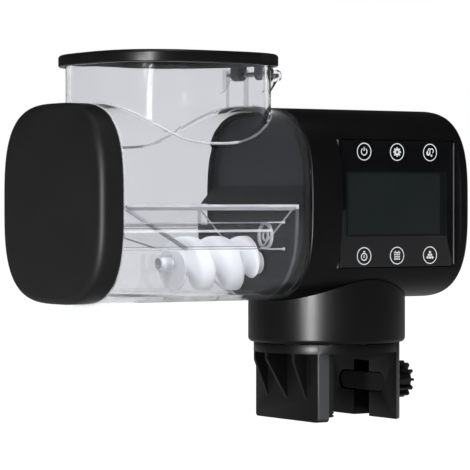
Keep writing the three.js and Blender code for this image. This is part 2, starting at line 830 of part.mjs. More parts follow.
// Outline of a spur gear with one tooth centred at a start angle
function gearOutline(teeth, startAngle, centre) {
  const pitchRadius = (teeth * gearModule) / 2;
  const tip = pitchRadius + gearModule * gearAddendumShare;
  const root = pitchRadius - gearModule * gearDedendumShare;
  const toothWidth = (Math.PI * gearModule) / 2 - gearBacklash;
  const halfAtRoot = (toothWidth * gearRootWidthShare) / 2 / pitchRadius;
  const halfAtTip = (toothWidth * gearTipWidthShare) / 2 / pitchRadius;
  return times(teeth, (index) => {
    const middle = startAngle + (2 * Math.PI * index) / teeth;
    const corners = [[root, -halfAtRoot], [tip, -halfAtTip], [tip, halfAtTip], [root, halfAtRoot]];
    return corners.map(([radius, turn]) => [
      centre[0] + radius * Math.cos(middle + turn),
      centre[1] + radius * Math.sin(middle + turn),
    ]);
  }).flat();
}

// Direction from one centre to another, in the gears' plane
function directionTo(from, to) {
  return Math.atan2(to[1] - from[1], to[0] - from[0]);
}

function spurGear(teeth, startAngle, centre, boreRadius) {
  return prism("x", gearOutline(teeth, startAngle, centre), gearLeft, gearRight)
    .subtract(hole("x", boreRadius, gearLeft - overrun, gearRight + overrun, centre));
}

const driveToIdler = directionTo(driveCentre, idlerCentre);
const idlerToPinion = directionTo(idlerCentre, pinionCentre);
const idlerStart = driveToIdler + Math.PI + Math.PI / idlerTeeth;
const idlerTurnAtPinion = (idlerToPinion - idlerStart) * idlerTeeth;
const pinionStart = idlerToPinion + Math.PI + (Math.PI + idlerTurnAtPinion) / pinionTeeth;

function gearPostPlaces() {
  return mirrored.flatMap((signY) => mirrored.map((signZ) => [
    gearPlateCentreY + signY * (gearPlateDepth / 2 - postInset),
    gearPlateCentreZ + signZ * (gearPlateHeight / 2 - postInset),
  ]));
}

function motorScrewPlaces() {
  return mirrored.map((sign) => [pinionCentre[0] + (sign * motorScrewSpacing) / 2, pinionCentre[1]]);
}

function gearPlate() {
  const outline = roundedRectangle(gearPlateDepth / 2, gearPlateHeight / 2, gearPlateCornerRadius,
    [gearPlateCentreY, gearPlateCentreZ]);
  const bores = [
    [driveShaftRadius, driveCentre],
    [idlerAxleRadius, idlerCentre],
    [motorShaftRadius * 2, pinionCentre],
    ...[...gearPostPlaces(), ...motorScrewPlaces()].map((place) => [screwRadius, place]),
  ];
  const cuts = bores.map(([radius, place]) =>
    hole("x", radius, gearPlateFromJoint - overrun, gearPlateRight + overrun, place));
  return cutBy(prism("x", outline, gearPlateFromJoint, gearPlateRight), cuts)
    .intersect(prism("x", bodySection(housingWall + runningGap), 0, gearPlateRight));
}

function gearPlateScrews() {
  return gearPostPlaces().map((place) => screw("x", gearPlateRight + gap, -1, place));
}

function motorScrews() {
  const length = gearPlateThickness + screwHeadHeight + gap;
  return motorScrewPlaces().map((place) => screw("x", gearPlateFromJoint - gap, 1, place, screwRadius,
    motorScrewHeadRadius, screwHeadHeight, length));
}

function gearMotor() {
  const face = gearPlateRight + gap;
  const can = rod("x", motorRadius, face, face + motorLength, pinionCentre);
  const bell = rod("x", motorBellRadius, face + motorLength, face + motorLength + motorBellLength,
    pinionCentre, smallSides);
  const pilots = motorScrewPlaces().map((place) =>
    hole("x", screwRadius, face - overrun, face + screwHeadHeight * 2, place));
  const shaftHole = hole("x", motorShaftRadius, face - overrun, face + motorLength / 4, pinionCentre);
  return cutBy(can.add(bell), [...pilots, shaftHole]);
}

addPiece(head, "gear_plate", gearPlate(), whitePlastic);
addPieces(head, "gear_plate_screw", gearPlateScrews(), steel);
addPiece(head, "gear_motor", gearMotor(), steel);
addPieces(head, "motor_screw", motorScrews(), steel);
addPiece(head, "motor_shaft", rod("x", motorShaftRadius, gearLeft - gap,
  gearPlateRight + gap + motorLength / 5, pinionCentre, smallSides), steel);
addPiece(head, "motor_pinion",
  spurGear(pinionTeeth, pinionStart, pinionCentre, motorShaftRadius), whitePlastic);
addPiece(head, "idler_axle", rod("x", idlerAxleRadius, bulkheadThickness / 2 + gap, gearPlateRight,
  idlerCentre, smallSides), steel);
addPiece(head, "idler_gear",
  spurGear(idlerTeeth, idlerStart, idlerCentre, idlerAxleRadius), whitePlastic);
addPiece(head, "drive_gear",
  spurGear(driveTeeth, driveToIdler, driveCentre, driveShaftRadius), whitePlastic);

// Drive shaft, coupling and auger

const augerRight = -augerRightEnd;
const augerLeft = -augerLeftEnd;
const hubRight = augerRight + augerHubReach;
const couplingLeft = hubRight + gap;
const couplingRight = couplingLeft + couplingLength;

addPiece(head, "drive_shaft", rod("x", driveShaftRadius, (couplingLeft + couplingRight) / 2 + gap,
  gearPlateRight, driveCentre, smallSides), steel);
addPiece(head, "shaft_seal", tube("x", driveShaftRadius + gap + shaftSealWidth, driveShaftRadius + gap, gap,
  bulkheadThickness - gap, driveCentre), rubberBlack);

function driveCoupling() {
  const tongue = block([couplingLeft - tongueLength, couplingLeft + gap],
    [-augerCoreRadius + gap, augerCoreRadius - gap],
    [-augerDrop - tongueThickness / 2, -augerDrop + tongueThickness / 2]);
  return rod("x", augerCoreRadius, couplingLeft, couplingRight, driveCentre)
    .add(tongue)
    .subtract(hole("x", driveShaftRadius, (couplingLeft + couplingRight) / 2, couplingRight + overrun,
      driveCentre));
}

// Auger with fat rounded flights on a round core
function augerScrew() {
  const turns = (augerRight - augerLeft) / augerPitch;
  const ringCount = Math.round(turns * augerSteps);
  const rings = times(ringCount + 1, (index) => {
    const at = augerLeft + ((augerRight - augerLeft) * index) / ringCount;
    const outline = times(augerSides, (side) => {
      const angle = (2 * Math.PI * side) / augerSides;
      const phase = (2 * Math.PI * at) / augerPitch - angle + 2 * Math.PI * augerPhaseTurns;
      const crest = 1 - ((1 - Math.cos(phase)) / 2) ** augerGroovePower;
      const radius = augerCoreRadius + (augerRadius - augerCoreRadius) * crest;
      return [radius * Math.cos(angle), radius * Math.sin(angle) - augerDrop];
    });
    return { at, outline };
  });
  const slot = block([couplingLeft - tongueLength - runningGap, hubRight + overrun],
    [-augerRadius, augerRadius],
    [-augerDrop - tongueThickness / 2 - gap, -augerDrop + tongueThickness / 2 + gap]);
  return loft("x", rings)
    .add(rod("x", augerCoreRadius, augerLeft, hubRight, driveCentre))
    .subtract(hole("x", augerPinRadius, augerLeft - overrun, augerLeft + augerPinReach + gap, driveCentre))
    .subtract(slot);
}

addPiece(head, "drive_coupling", driveCoupling(), whitePlastic);
addPiece(head, "auger_screw", augerScrew(), whitePlastic);

// Hopper barrel with its neck, hinge ears and outlet opening

const outletSpan = [-barrelLength - gap, -barrelLength - gap + outletLength];
const outletHoleSpan = [outletSpan[0] + outletWall, outletSpan[1] - outletWall];

function neckOutline(inset) {
  return roundedSquare(neckLength / 2 - inset, neckDepth / 2 - inset, neckRoundShare, sectionSides,
    neckCentre);
}

function hopperBarrel() {
  const outer = prism("x", bodySection(0), -barrelLength, -gap)
    .add(prism("z", neckOutline(0), 0, neckTop))
    .add(hingeEars());
  const outletHole = block([outletHoleSpan[0] + outletWall - gap, outletHoleSpan[1] + gap],
    [-outletWidth / 2 + outletWall - gap, outletWidth / 2 - outletWall + gap], [-halfHeight - overrun, 0]);
  return outer
    .subtract(prism("x", bodySection(barrelWall), -barrelLength - overrun, overrun))
    .subtract(prism("z", neckOutline(barrelWall), 0, neckTop + overrun))
    .subtract(outletHole)
    .subtract(hole("y", hingePinRadius, -hingeEarSpan, hingeEarSpan, [hingeX, hingeRise]));
}

function hingeEars() {
  const wall = -neckFromJoint + neckLength / 2 - barrelWall - overrun;
  const outline = [
    [wall, hingeRise - hingeEarDrop],
    [hingeX, hingeRise - hingeKnuckleRadius],
    ...arc(hingeX, hingeRise, hingeKnuckleRadius, -1 / 2, 1 / 2),
    [wall, hingeRise + hingeKnuckleRadius],
  ];
  const ears = mirrored
    .map((sign) => (sign * (hingeEarSpan - hingeEarWidth)) / 2)
    .map((y) => prism("y", outline, y - hingeEarWidth / 2, y + hingeEarWidth / 2));
  return joined(ears);
}

// Points on a circle between two angles, given in half turns
function arc(u, v, radius, fromHalfTurns, toHalfTurns, steps = 2 * roundingSteps) {
  return times(steps - 1, (index) => {
    const angle = (fromHalfTurns + ((toHalfTurns - fromHalfTurns) * (index + 1)) / steps) * Math.PI;
    return [u + radius * Math.cos(angle), v + radius * Math.sin(angle)];
  });
}

addPiece(head, "hopper_barrel", hopperBarrel(), clearPlastic);

function barrelSeal() {
  const inset = barrelWall + gap;
  return prism("x", bodySection(inset), -gap - barrelSealLength, -gap)
    .subtract(prism("x", bodySection(inset + barrelSealWidth), -overrun - barrelSealLength, overrun));
}

addPiece(head, "barrel_seal", barrelSeal(), rubberBlack);

// Funnel insert: a well with sloping front, back and left walls, and an upright end plate

// Well between the sloping walls, widened by the sheet and cut between two heights
function slopedWell(sheet, high, low) {
  const halfTop = halfDepth - barrelWall;
  const halfBottom = troughRadius;
  const planes = (z) => {
    const share = -z / funnelDepth;
    const left = funnelLeft + (augerLeft - funnelLeft) * share - sheet;
    const half = halfTop + (halfBottom - halfTop) * share + sheet;
    return { left, half };
  };
  const right = endPlateLeft + sheet;
  const corners = [low, high].flatMap((z) => {
    const { left, half } = planes(z);
    return [[left, -half, z], [right, -half, z], [right, half, z], [left, half, z]];
  });
  const bottomAndTop = [0, 2, 1, 0, 3, 2, 4, 5, 6, 4, 6, 7];
  const walls = times(4, (side) => {
    const next = (side + 1) % 4;
    return [side, next, next + 4, side, next + 4, side + 4];
  });
  const geometry = new THREE.BufferGeometry();
  geometry.setAttribute("position", new THREE.Float32BufferAttribute(corners.flat(), 3));
  geometry.setIndex([...bottomAndTop, ...walls.flat()]);
  return toSolid(geometry);
}

function funnelInsert() {
  const well = slopedWell(funnelSheet, -gap, -funnelDepth)
    .subtract(slopedWell(0, overrun, -funnelDepth - overrun));
  const plate = block([endPlateLeft, endPlateRight], [-halfDepth, halfDepth], [-halfHeight, -gap]);
  const room = prism("x", bodySection(barrelWall + gap), funnelLeft, endPlateRight);
  const pin = rod("x", hopperTubePinRadius, -hopperTubeEnd - runningGap, endPlateRight - gap,
    hopperTubeCentre, smallSides);
  const lipEnd = capRight + capLipReach + runningGap;
  const insideLip = bodySection(capLipInset + capLipWall + runningGap);
  const lipRoom = prism("x", bodySection(0), funnelLeft - overrun, lipEnd)
    .subtract(prism("x", insideLip, -barrelLength, lipEnd + overrun));
  const tubeRoom = rod("x", hopperTubeRadius + gap, -barrelLength, endPlateLeft - gap, hopperTubeCentre);
  const augerHole = rod("x", augerCoreRadius + runningGap, -barrelLength, 0, driveCentre);
  return cutBy(well.add(plate).intersect(room), [lipRoom, tubeRoom, augerHole]).add(pin);
}

addPiece(head, "funnel_insert", funnelInsert(), clearPlastic);

// Trough under the funnel: open above the auger, roofed around the bearing spider and on to the outlet

function troughSection(radius, top) {
  const round = arc(0, -augerDrop, radius, -1, 0, smallSides);
  return [[radius, top], [-radius, top], [-radius, -augerDrop], ...round, [radius, -augerDrop]];
}

function augerTrough() {
  const top = -funnelDepth - gap;
  const left = -troughLeftEnd;
  const right = endPlateLeft - gap;
  const outer = prism("x", troughSection(troughRadius + troughWall, top), left, right);
  const open = prism("x", troughSection(troughRadius, top + overrun), augerLeft - gap, right + overrun);
  const roofed = prism("x", troughSection(troughRadius, top - troughWall), left - overrun, right);
  return outer.subtract(open).subtract(roofed);
}

addPiece(head, "auger_trough", augerTrough(), clearPlastic);

function bearingSpider() {
  const right = augerLeft - spiderStandoff;
  const left = right - spiderThickness;
  const outerRadius = troughRadius - gap;
  const ring = tube("x", outerRadius, outerRadius - spiderRim, left, right, driveCentre);
  const spokes = times(spokeCount, (index) => {
    const angle = (2 * Math.PI * index) / spokeCount + Math.PI / 2;
    const along = [Math.cos(angle), Math.sin(angle)];
    const across = [(-along[1] * spokeWidth) / 2, (along[0] * spokeWidth) / 2];
    const reach = outerRadius - spiderRim / 2;
    const outline = [[0, -1], [reach, -1], [reach, 1], [0, 1]].map(([out, side]) => [
      out * along[0] + side * across[0],
      out * along[1] + side * across[1] - augerDrop,
    ]);
    return prism("x", outline, left, right);
  });
  const roofTop = -funnelDepth - gap - troughWall - gap;
  const underRoof = block([left - overrun, right + overrun], [-augerRadius * 2, augerRadius * 2],
    [roofTop - augerRadius * 4, roofTop]);
  const hub = rod("x", spiderHubRadius, left, right, driveCentre);
  return joined([ring, hub, ...spokes])
    .intersect(underRoof)
    .add(rod("x", augerPinRadius, right - gap, augerLeft + augerPinReach, driveCentre, smallSides));
}

addPiece(head, "bearing_spider", bearingSpider(), clearPlastic);

function outletSpout() {
  const top = -halfHeight - gap;
  const bottom = top - outletDrop;
  const halfWidth = outletWidth / 2;
  const skirt = block(outletSpan, [-halfWidth, halfWidth], [bottom, top]);
  const plug = block([outletHoleSpan[0] + outletWall, outletHoleSpan[1]],
    [-halfWidth + outletWall, halfWidth - outletWall], [top - gap, -halfHeight + barrelWall]);
  const passage = block([outletHoleSpan[0] + 2 * outletWall, outletHoleSpan[1] - outletWall],
    [-halfWidth + 2 * outletWall, halfWidth - 2 * outletWall], [bottom - overrun, 0]);
  const mouth = block(outletHoleSpan, [-halfWidth + outletWall, halfWidth - outletWall],
    [bottom - overrun, top - outletWall]);
  return skirt.add(plug).subtract(passage).subtract(mouth);
}

addPiece(head, "outlet_spout", outletSpout(), clearPlastic);

// End cap with its locating lip, the seal in its rim and the clear tube that it carries

function endCap() {
  const face = quarterRoundShares.map(([along, inwards]) => ({
    at: capLeft + capCrown + capEdgeRadius * (1 - along),
    outline: bodySection(capEdgeRadius * inwards),
  })).toReversed();
  const crown = { at: capLeft, outline: bodySection(halfDepth - capEdgeRadius) };
  const shell = loft("x", [crown, ...face, { at: capRight, outline: bodySection(0) }])
    .subtract(prism("x", bodySection(capWall), capFloor + capCrown, capRight + overrun));
  const lipEnd = capRight + capLipReach;
  const lip = prism("x", bodySection(capLipInset), capFloor, lipEnd)
    .subtract(prism("x", bodySection(capLipInset + capLipWall), capFloor - overrun, lipEnd + overrun));
  const groove = sealRing(gap, capRight + overrun);
  const socketRadius = hopperTubeRadius + gap;
  const socketEnd = capFloor + capCrown + hopperTubeSocketReach;
  const socket = rod("x", socketRadius + hopperTubeSocketWall, capFloor, socketEnd, hopperTubeCentre)
    .intersect(prism("x", bodySection(capLipInset), capFloor, capRight));
  const tubeRoom = rod("x", socketRadius, capFloor + capCrown, lipEnd + overrun, hopperTubeCentre);
  return cutBy(joined([shell, lip]), [groove]).add(socket).subtract(tubeRoom);
}

// Ring in the middle of the cap's rim, grown by a clearance
function sealRing(grow, right) {
  const inset = (barrelWall - capSealWidth) / 2;
  const left = capRight - capSealLength - grow;
  return prism("x", bodySection(inset - grow), left, right)
    .subtract(prism("x", bodySection(inset + capSealWidth + grow), left - overrun, right + overrun));
}

function hopperTube() {
  const left = capFloor + capCrown + gap;
  const right = -hopperTubeEnd;
  const bore = rod("x", hopperTubeRadius - hopperTubeWall, left - overrun, right - hopperTubeWall,
    hopperTubeCentre);
  return rod("x", hopperTubeRadius, left, right, hopperTubeCentre)
    .subtract(bore)
    .subtract(hole("x", hopperTubePinRadius, right - hopperTubeWall * 2, right + overrun, hopperTubeCentre));
}

addPiece(head, "end_cap", endCap(), satinBlack);
addPiece(head, "cap_seal", sealRing(0, capRight), rubberBlack);
addPiece(head, "hopper_tube", hopperTube(), clearPlastic);

// Lid with its hinge lugs, gasket and pin

function lidOutline(inset) {
  const half = [neckLength / 2, neckDepth / 2].map((size) => size + runningGap + lidWall - inset);
  return roundedSquare(half[0], half[1], neckRoundShare, sectionSides, neckCentre);
}

function lid() {
  const inner = [lidCeiling, lidBottom].map((at) => ({ at, outline: lidOutline(lidWall) }));
  const edge = quarterRoundShares.map(([along, inwards]) => ({
    at: lidTopRise - lidCrown - lidEdgeRadius * (1 - along),
    outline: lidOutline(lidEdgeRadius * inwards),
  }));
  const crown = { at: lidTopRise, outline: lidOutline(neckDepth / 3) };
  return loft("z", [...inner, { at: lidBottom, outline: lidOutline(0) }, ...edge, crown])
    .add(hingeLugs())
    .subtract(hole("y", hingePinRadius, -hingeEarSpan, hingeEarSpan, [hingeX, hingeRise]));
}

function hingeLugs() {
  const top = lidBottom + gap;
  const outline = [
    [hingeX - hingeKnuckleRadius, top],
    [hingeX - hingeKnuckleRadius, hingeRise],
    ...arc(hingeX, hingeRise, hingeKnuckleRadius, -1, 0),
    [hingeX + hingeKnuckleRadius, hingeRise],
    [hingeX + hingeKnuckleRadius, top],
  ];
  const nearNeck = prism("z", neckOutline(-runningGap), 0, neckTop + gap);
  const lugs = mirrored
    .map((sign) => (sign * (hingeLugSpan - hingeLugWidth)) / 2)
    .map((y) => prism("y", outline, y - hingeLugWidth / 2, y + hingeLugWidth / 2));
  return joined(lugs).subtract(nearNeck);
}

function lidGasket() {
  const low = neckTop + gap;
  return prism("z", lidOutline(lidWall + gap), low, low + lidGasketThickness)
    .subtract(prism("z", lidOutline(lidWall + gap + barrelWall * 2), low - overrun, lidCeiling + overrun));
}

addPiece(head, "lid", lid(), satinBlack);
addPiece(head, "lid_gasket", lidGasket(), rubberBlack);
addPiece(head, "lid_hinge_pin", rod("y", hingePinRadius, -hingeEarSpan / 2, hingeEarSpan / 2,
  [hingeX, hingeRise], smallSides), steel);

// Twin leads inside the housing

function twinLead(points) {
  const curve = new THREE.CatmullRomCurve3(points.map((point) => new THREE.Vector3(...point)));
  const outline = roundedSquare(wireRadius, wireRadius + wireSpacing / 2, circleRoundShare, wireSides);
  const shape = new THREE.Shape(outline.map(([u, v]) => new THREE.Vector2(u, v)));
  const options = { steps: wireSteps, extrudePath: curve, bevelEnabled: false };
  return toSolid(new THREE.ExtrudeGeometry(shape, options));
}

// From the back of the motor to the control board
function motorLead() {
  const start = gearPlateRight + gap + motorLength + motorBellLength + wireRadius;
  const [y, z] = pinionCentre;
  return twinLead([
    [start, y, z],
    [start + leadBend, y - motorBellRadius / 2, z],
    [start + leadBend, boardRear + leadBend, z - leadBend],
    [start + leadBend / 2, boardRear + wireRadius, z - leadBend],
  ]);
}

// From the back of the power inlet to the control board
function inletLead() {
  const start = innerHalfDepthAt(inletDrop, 0) - inletLength - gap;
  return twinLead([
    [inletFromJoint, start, -inletDrop],
    [inletFromJoint - leadBend / 4, leadBend, -inletDrop + leadBend / 4],
    [inletFromJoint - leadBend, boardRear + leadBend, -inletDrop + leadBend],
    [inletFromJoint - leadBend, boardRear + wireRadius, -inletDrop + leadBend],
  ]);
}

addPiece(head, "motor_lead", motorLead(), wireRed);
addPiece(head, "inlet_lead", inletLead(), wireRed);

export default feeder;
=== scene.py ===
import math

import bmesh
import bpy
from mathutils import Matrix, Vector


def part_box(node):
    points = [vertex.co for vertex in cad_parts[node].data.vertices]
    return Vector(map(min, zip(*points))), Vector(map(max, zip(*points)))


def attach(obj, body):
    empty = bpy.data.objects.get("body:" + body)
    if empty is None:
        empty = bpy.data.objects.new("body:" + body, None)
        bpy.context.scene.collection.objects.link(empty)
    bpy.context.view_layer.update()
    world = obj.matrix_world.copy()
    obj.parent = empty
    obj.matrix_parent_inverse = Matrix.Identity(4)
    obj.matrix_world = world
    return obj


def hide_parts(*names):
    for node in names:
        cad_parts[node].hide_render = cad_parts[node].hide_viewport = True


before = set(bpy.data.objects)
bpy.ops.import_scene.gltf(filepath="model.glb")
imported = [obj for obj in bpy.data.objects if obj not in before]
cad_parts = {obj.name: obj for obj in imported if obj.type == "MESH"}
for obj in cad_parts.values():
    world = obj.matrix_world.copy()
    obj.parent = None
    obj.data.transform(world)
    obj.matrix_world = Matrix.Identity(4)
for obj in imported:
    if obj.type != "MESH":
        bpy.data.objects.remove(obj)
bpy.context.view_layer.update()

# Sizes in millimetres. Head pieces are drawn from the joint of hopper and housing and from the body's axis.
MM = 0.001
JOINT_X = -37.5
AXIS_Z = 66.3
HALF_DEPTH = 43
HALF_HEIGHT = 42.5
BODY_ROUND = 0.32
FINE = 120
MEDIUM = 64
COARSE = 32
EDGE_ANGLE = math.radians(32)
SMOOTH_ANGLE = math.radians(18)
OVERRUN = 3


# Materials

def new_material(name):
    material = bpy.data.materials.new(name)
    material.use_nodes = True
    shader = material.node_tree.nodes["Principled BSDF"]
    return material, shader


def link(material, source, target):
    material.node_tree.links.new(source, target)


def object_pattern(material, scale, detail, stretch=(1, 1, 1)):
    """Noise over the piece's own coordinates, stretched along an axis where the surface was drawn that way."""
    nodes = material.node_tree.nodes
    place = nodes.new("ShaderNodeTexCoord")
    mapping = nodes.new("ShaderNodeMapping")
    mapping.inputs["Scale"].default_value = stretch
    noise = nodes.new("ShaderNodeTexNoise")
    noise.inputs["Scale"].default_value = scale
    noise.inputs["Detail"].default_value = detail
    link(material, place.outputs["Object"], mapping.inputs["Vector"])
    link(material, mapping.outputs["Vector"], noise.inputs["Vector"])
    return noise.outputs["Fac"]


def vary(material, pattern, socket, low, high):
    spread = material.node_tree.nodes.new("ShaderNodeMapRange")
    spread.inputs["To Min"].default_value = low
    spread.inputs["To Max"].default_value = high
    link(material, pattern, spread.inputs["Value"])
    link(material, spread.outputs["Result"], socket)


def tint(material, pattern, shader, dark, light):
    ramp = material.node_tree.nodes.new("ShaderNodeValToRGB")
    ramp.color_ramp.elements[0].color = (*dark, 1)
    ramp.color_ramp.elements[0].position = 0.3
    ramp.color_ramp.elements[1].color = (*light, 1)
    ramp.color_ramp.elements[1].position = 0.7
    link(material, pattern, ramp.inputs["Fac"])
    link(material, ramp.outputs["Color"], shader.inputs["Base Color"])


def grain(material, shader, pattern, strength, depth):
    bump = material.node_tree.nodes.new("ShaderNodeBump")
    bump.inputs["Strength"].default_value = strength
    bump.inputs["Distance"].default_value = depth
    link(material, pattern, bump.inputs["Height"])
    link(material, bump.outputs["Normal"], shader.inputs["Normal"])


def linear(hexadecimal):
    """A colour written as screens show it, as the shader wants it."""
    parts = [(hexadecimal >> shift & 255) / 255 for shift in (16, 8, 0)]
    return tuple(c / 12.92 if c <= 0.04045 else ((c + 0.055) / 1.055) ** 2.4 for c in parts)


def moulded(name, dark, light, roughness, specular=0.3, grain_scale=2600, strength=0.12, stretch=(1, 1, 1)):
    """Moulded plastic: fine grain, slightly uneven colour and gloss."""
    material, shader = new_material(name)
    fine = object_pattern(material, grain_scale, 2, stretch)
    broad = object_pattern(material, 45, 3)
    tint(material, broad, shader, linear(dark), linear(light))
    vary(material, broad, shader.inputs["Roughness"], roughness - 0.04, roughness + 0.05)
    grain(material, shader, fine, strength, 0.00004)
    shader.inputs["Specular IOR Level"].default_value = specular
    return material


def see_through(name, color, roughness, alpha, transmission=0, ior=1.45, coat=0):
    """Clear plastic, with faint flow marks from moulding."""
    material, shader = new_material(name)
    marks = object_pattern(material, 60, 2, (0.4, 1, 1))
    vary(material, marks, shader.inputs["Roughness"], roughness, roughness + 0.03)
    shader.inputs["Base Color"].default_value = (*linear(color), 1)
    shader.inputs["IOR"].default_value = ior
    shader.inputs["Alpha"].default_value = alpha
    shader.inputs["Transmission Weight"].default_value = transmission
    shader.inputs["Coat Weight"].default_value = coat
    shader.inputs["Coat Roughness"].default_value = 0.12
    return material


def metal(name, dark, light, roughness, stretch):
    material, shader = new_material(name)
    lines = object_pattern(material, 900, 3, stretch)
    tint(material, lines, shader, linear(dark), linear(light))
    vary(material, lines, shader.inputs["Roughness"], roughness - 0.06, roughness + 0.08)
    shader.inputs["Metallic"].default_value = 1
    return material


satin_black = moulded("satin_black_plastic", 0x050506, 0x070708, 0.5, 0.25)
housing_black = moulded("housing_black_plastic", 0x020202, 0x030303, 0.34, 0.15, 1800, 0.05)
lid_black = moulded("lid_black_plastic", 0x020202, 0x030303, 0.3, 0.5, 1800, 0.05)
clamp_grey = moulded("clamp_grey_plastic", 0x020202, 0x030303, 0.34, 0.2)
wall_grey = moulded("wall_grey_plastic", 0x1A1B1F, 0x1E1F23, 0.55, 0.1)
# Darker copy of the wall grey for the bulkhead's ledge: painted shade.
ledge_painted_shade = moulded("ledge_painted_shade_plastic", 0x0E0F11, 0x121316, 0.55, 0.1)
# Lighter grey for the jaw's front faces: painted highlight.
clamp_painted_highlight = moulded("clamp_painted_highlight_plastic", 0x1E1F21, 0x222325, 0.36, 0.3)
# Light grey for bars along the panel recess: painted highlight.
recess_painted_highlight = moulded("recess_highlight_gloss", 0x2A2A2C, 0x2E2E30, 0.2, 0.5, 1800, 0.05)
knob_black = moulded("knob_black_plastic", 0x030303, 0x050505, 0.42, 0.5)
white_plastic = moulded("white_plastic", 0xEDEDEE, 0xF6F6F6, 0.4, 0.4, 1500, 0.06)
auger_white = moulded("auger_white_plastic", 0xD2D3D5, 0xDCDDDF, 0.45, 0.4, 900, 0.08)
rubber_black = moulded("rubber", 0x070707, 0x0C0C0C, 0.85, 0.1, 1200, 0.5)
key_print = moulded("key_print_white", 0x6E7071, 0x78797A, 0.5, 0.3, 3000, 0.03)
board_green = moulded("board_green", 0x17402B, 0x1F5036, 0.45)
lead_red = moulded("lead_red", 0x7E1A17, 0x98231F, 0.5)
steel = metal("turned_steel", 0x8F9295, 0xB4B7BA, 0.32, (1, 1, 0.05))
panel_black = moulded("panel_gloss_black", 0x020203, 0x030304, 0.08, 0.5, 300, 0.01)
display_grey = moulded("display_grey", 0x080B0B, 0x0A0D0D, 0.16, 0.2, 300, 0.01)
display_frame = moulded("display_frame", 0x040505, 0x050606, 0.2, 0.2, 300, 0.01)
clear_wall = see_through("clear_wall", 0xE7E8EB, 0.0, 1, 1, 1.08, 0.4)
# Beside the plain clear wall, sheet and frame, the lighter see-through materials here are painted highlights along
# edges, lines and bands of the clear parts, and the dark one is painted shade.
clear_edge_highlight = see_through("clear_edge_highlight", 0x6C6D70, 0.2, 0.7)
clear_sheet = see_through("clear_sheet", 0x6A6B6E, 0.02, 0.03)
clear_highlight_line = see_through("clear_highlight_line", 0xA4A5A8, 0.2, 0.85)
clear_highlight_band = see_through("clear_highlight_band", 0xC0C1C3, 0.2, 0.5)
clear_gleam = see_through("clear_gleam", 0x7C7D80, 0.2, 0.6)
clear_frame = see_through("clear_frame", 0xC4C5C8, 0.1, 0.3)
clear_faint_highlight = see_through("clear_faint_highlight", 0x6A6B6E, 0.2, 0.2)
clear_shade = see_through("clear_shade", 0x2A2B2E, 0.2, 0.45)
CLEAR_SOLID = (clear_wall, clear_edge_highlight, clear_faint_highlight)
CLEAR_THIN = (clear_sheet, clear_highlight_line)
CLEAR_BAR = (clear_sheet, clear_highlight_line, clear_highlight_band, clear_shade)


# Mesh work

def along(axis, u, v, at):
    """Point from its place along an axis and its two coordinates across it."""
    return {"X": (at, u, v), "Y": (u, at, v), "Z": (u, v, at)}[axis]


def across(axis, point):
    return {"X": (point[1], point[2]), "Y": (point[0], point[2]), "Z": (point[0], point[1])}[axis]


def rounded_square(half_u, half_v, share=BODY_ROUND):
    """Reach of a rounded square's outline at each angle."""
    power = 1 / share

    def reach(angle):
        u = abs(math.cos(angle)) / half_u
        v = abs(math.sin(angle)) / half_v
        return (u ** power + v ** power) ** -share
    return reach


def round_bar(radius):
    return lambda angle: radius


def body(inset):
    return rounded_square(HALF_DEPTH - inset, HALF_HEIGHT - inset)


def set_ring(verts, axis, at, reach, centre):
    for vert in verts:
        u, v = across(axis, vert.co)
        angle = math.atan2(v - centre[1], u - centre[0])
        radius = reach(angle)
        vert.co = along(axis, centre[0] + radius * math.cos(angle), centre[1] + radius * math.sin(angle), at)


def loft(axis, stations, centre=(0, 0), sides=FINE):
    """Solid through outlines: each station is its place along the axis and the reach of its outline."""
    mesh = bmesh.new()
    verts = bmesh.ops.create_circle(mesh, cap_ends=True, segments=sides, radius=1)["verts"]
    face = verts[0].link_faces[0]
    for vert in verts:
        vert.co = along(axis, centre[0] + vert.co.x, centre[1] + vert.co.y, 0)
    set_ring(verts, axis, stations[0][0], stations[0][1], centre)
    for at, reach in stations[1:]:
        grown = bmesh.ops.extrude_face_region(mesh, geom=[face])["geom"]
        if len(mesh.faces) > sides + 2:
            bmesh.ops.delete(mesh, geom=[face], context="FACES_ONLY")
        face = next(item for item in grown if isinstance(item, bmesh.types.BMFace))
        set_ring(face.verts, axis, at, reach, centre)
    bmesh.ops.recalc_face_normals(mesh, faces=mesh.faces)
    return mesh


def rod(axis, radius, start, end, centre=(0, 0), sides=MEDIUM):
    return loft(axis, [(start, round_bar(radius)), (end, round_bar(radius))], centre, sides)


def block(xs, ys, zs):
    mesh = bmesh.new()
    verts = bmesh.ops.create_cube(mesh, size=1)["verts"]
    size = (xs[1] - xs[0], ys[1] - ys[0], zs[1] - zs[0])
    middle = ((xs[0] + xs[1]) / 2, (ys[0] + ys[1]) / 2, (zs[0] + zs[1]) / 2)
    bmesh.ops.scale(mesh, vec=size, verts=verts)
    bmesh.ops.translate(mesh, vec=middle, verts=verts)
    return mesh


def slab(axis, outline, start, end):
    """Solid from a flat outline, extruded along an axis."""
    mesh = bmesh.new()
    face = mesh.faces.new([mesh.verts.new(along(axis, u, v, start)) for u, v in outline])
    grown = bmesh.ops.extrude_face_region(mesh, geom=[face])["geom"]
    verts = [item for item in grown if isinstance(item, bmesh.types.BMVert)]
    bmesh.ops.translate(mesh, vec=along(axis, 0, 0, end - start), verts=verts)
    bmesh.ops.recalc_face_normals(mesh, faces=mesh.faces)
    return mesh


def rounded_rectangle(half_u, half_v, radius, centre=(0, 0), steps=6):
    points = []
    for corner, (side_u, side_v) in enumerate([(1, 1), (-1, 1), (-1, -1), (1, -1)]):
        for step in range(steps + 1):
            angle = (corner + step / steps) * math.pi / 2
            u = side_u * (half_u - radius) + radius * math.cos(angle)
            v = side_v * (half_v - radius) + radius * math.sin(angle)
            points.append((centre[0] + u, centre[1] + v))
    return points


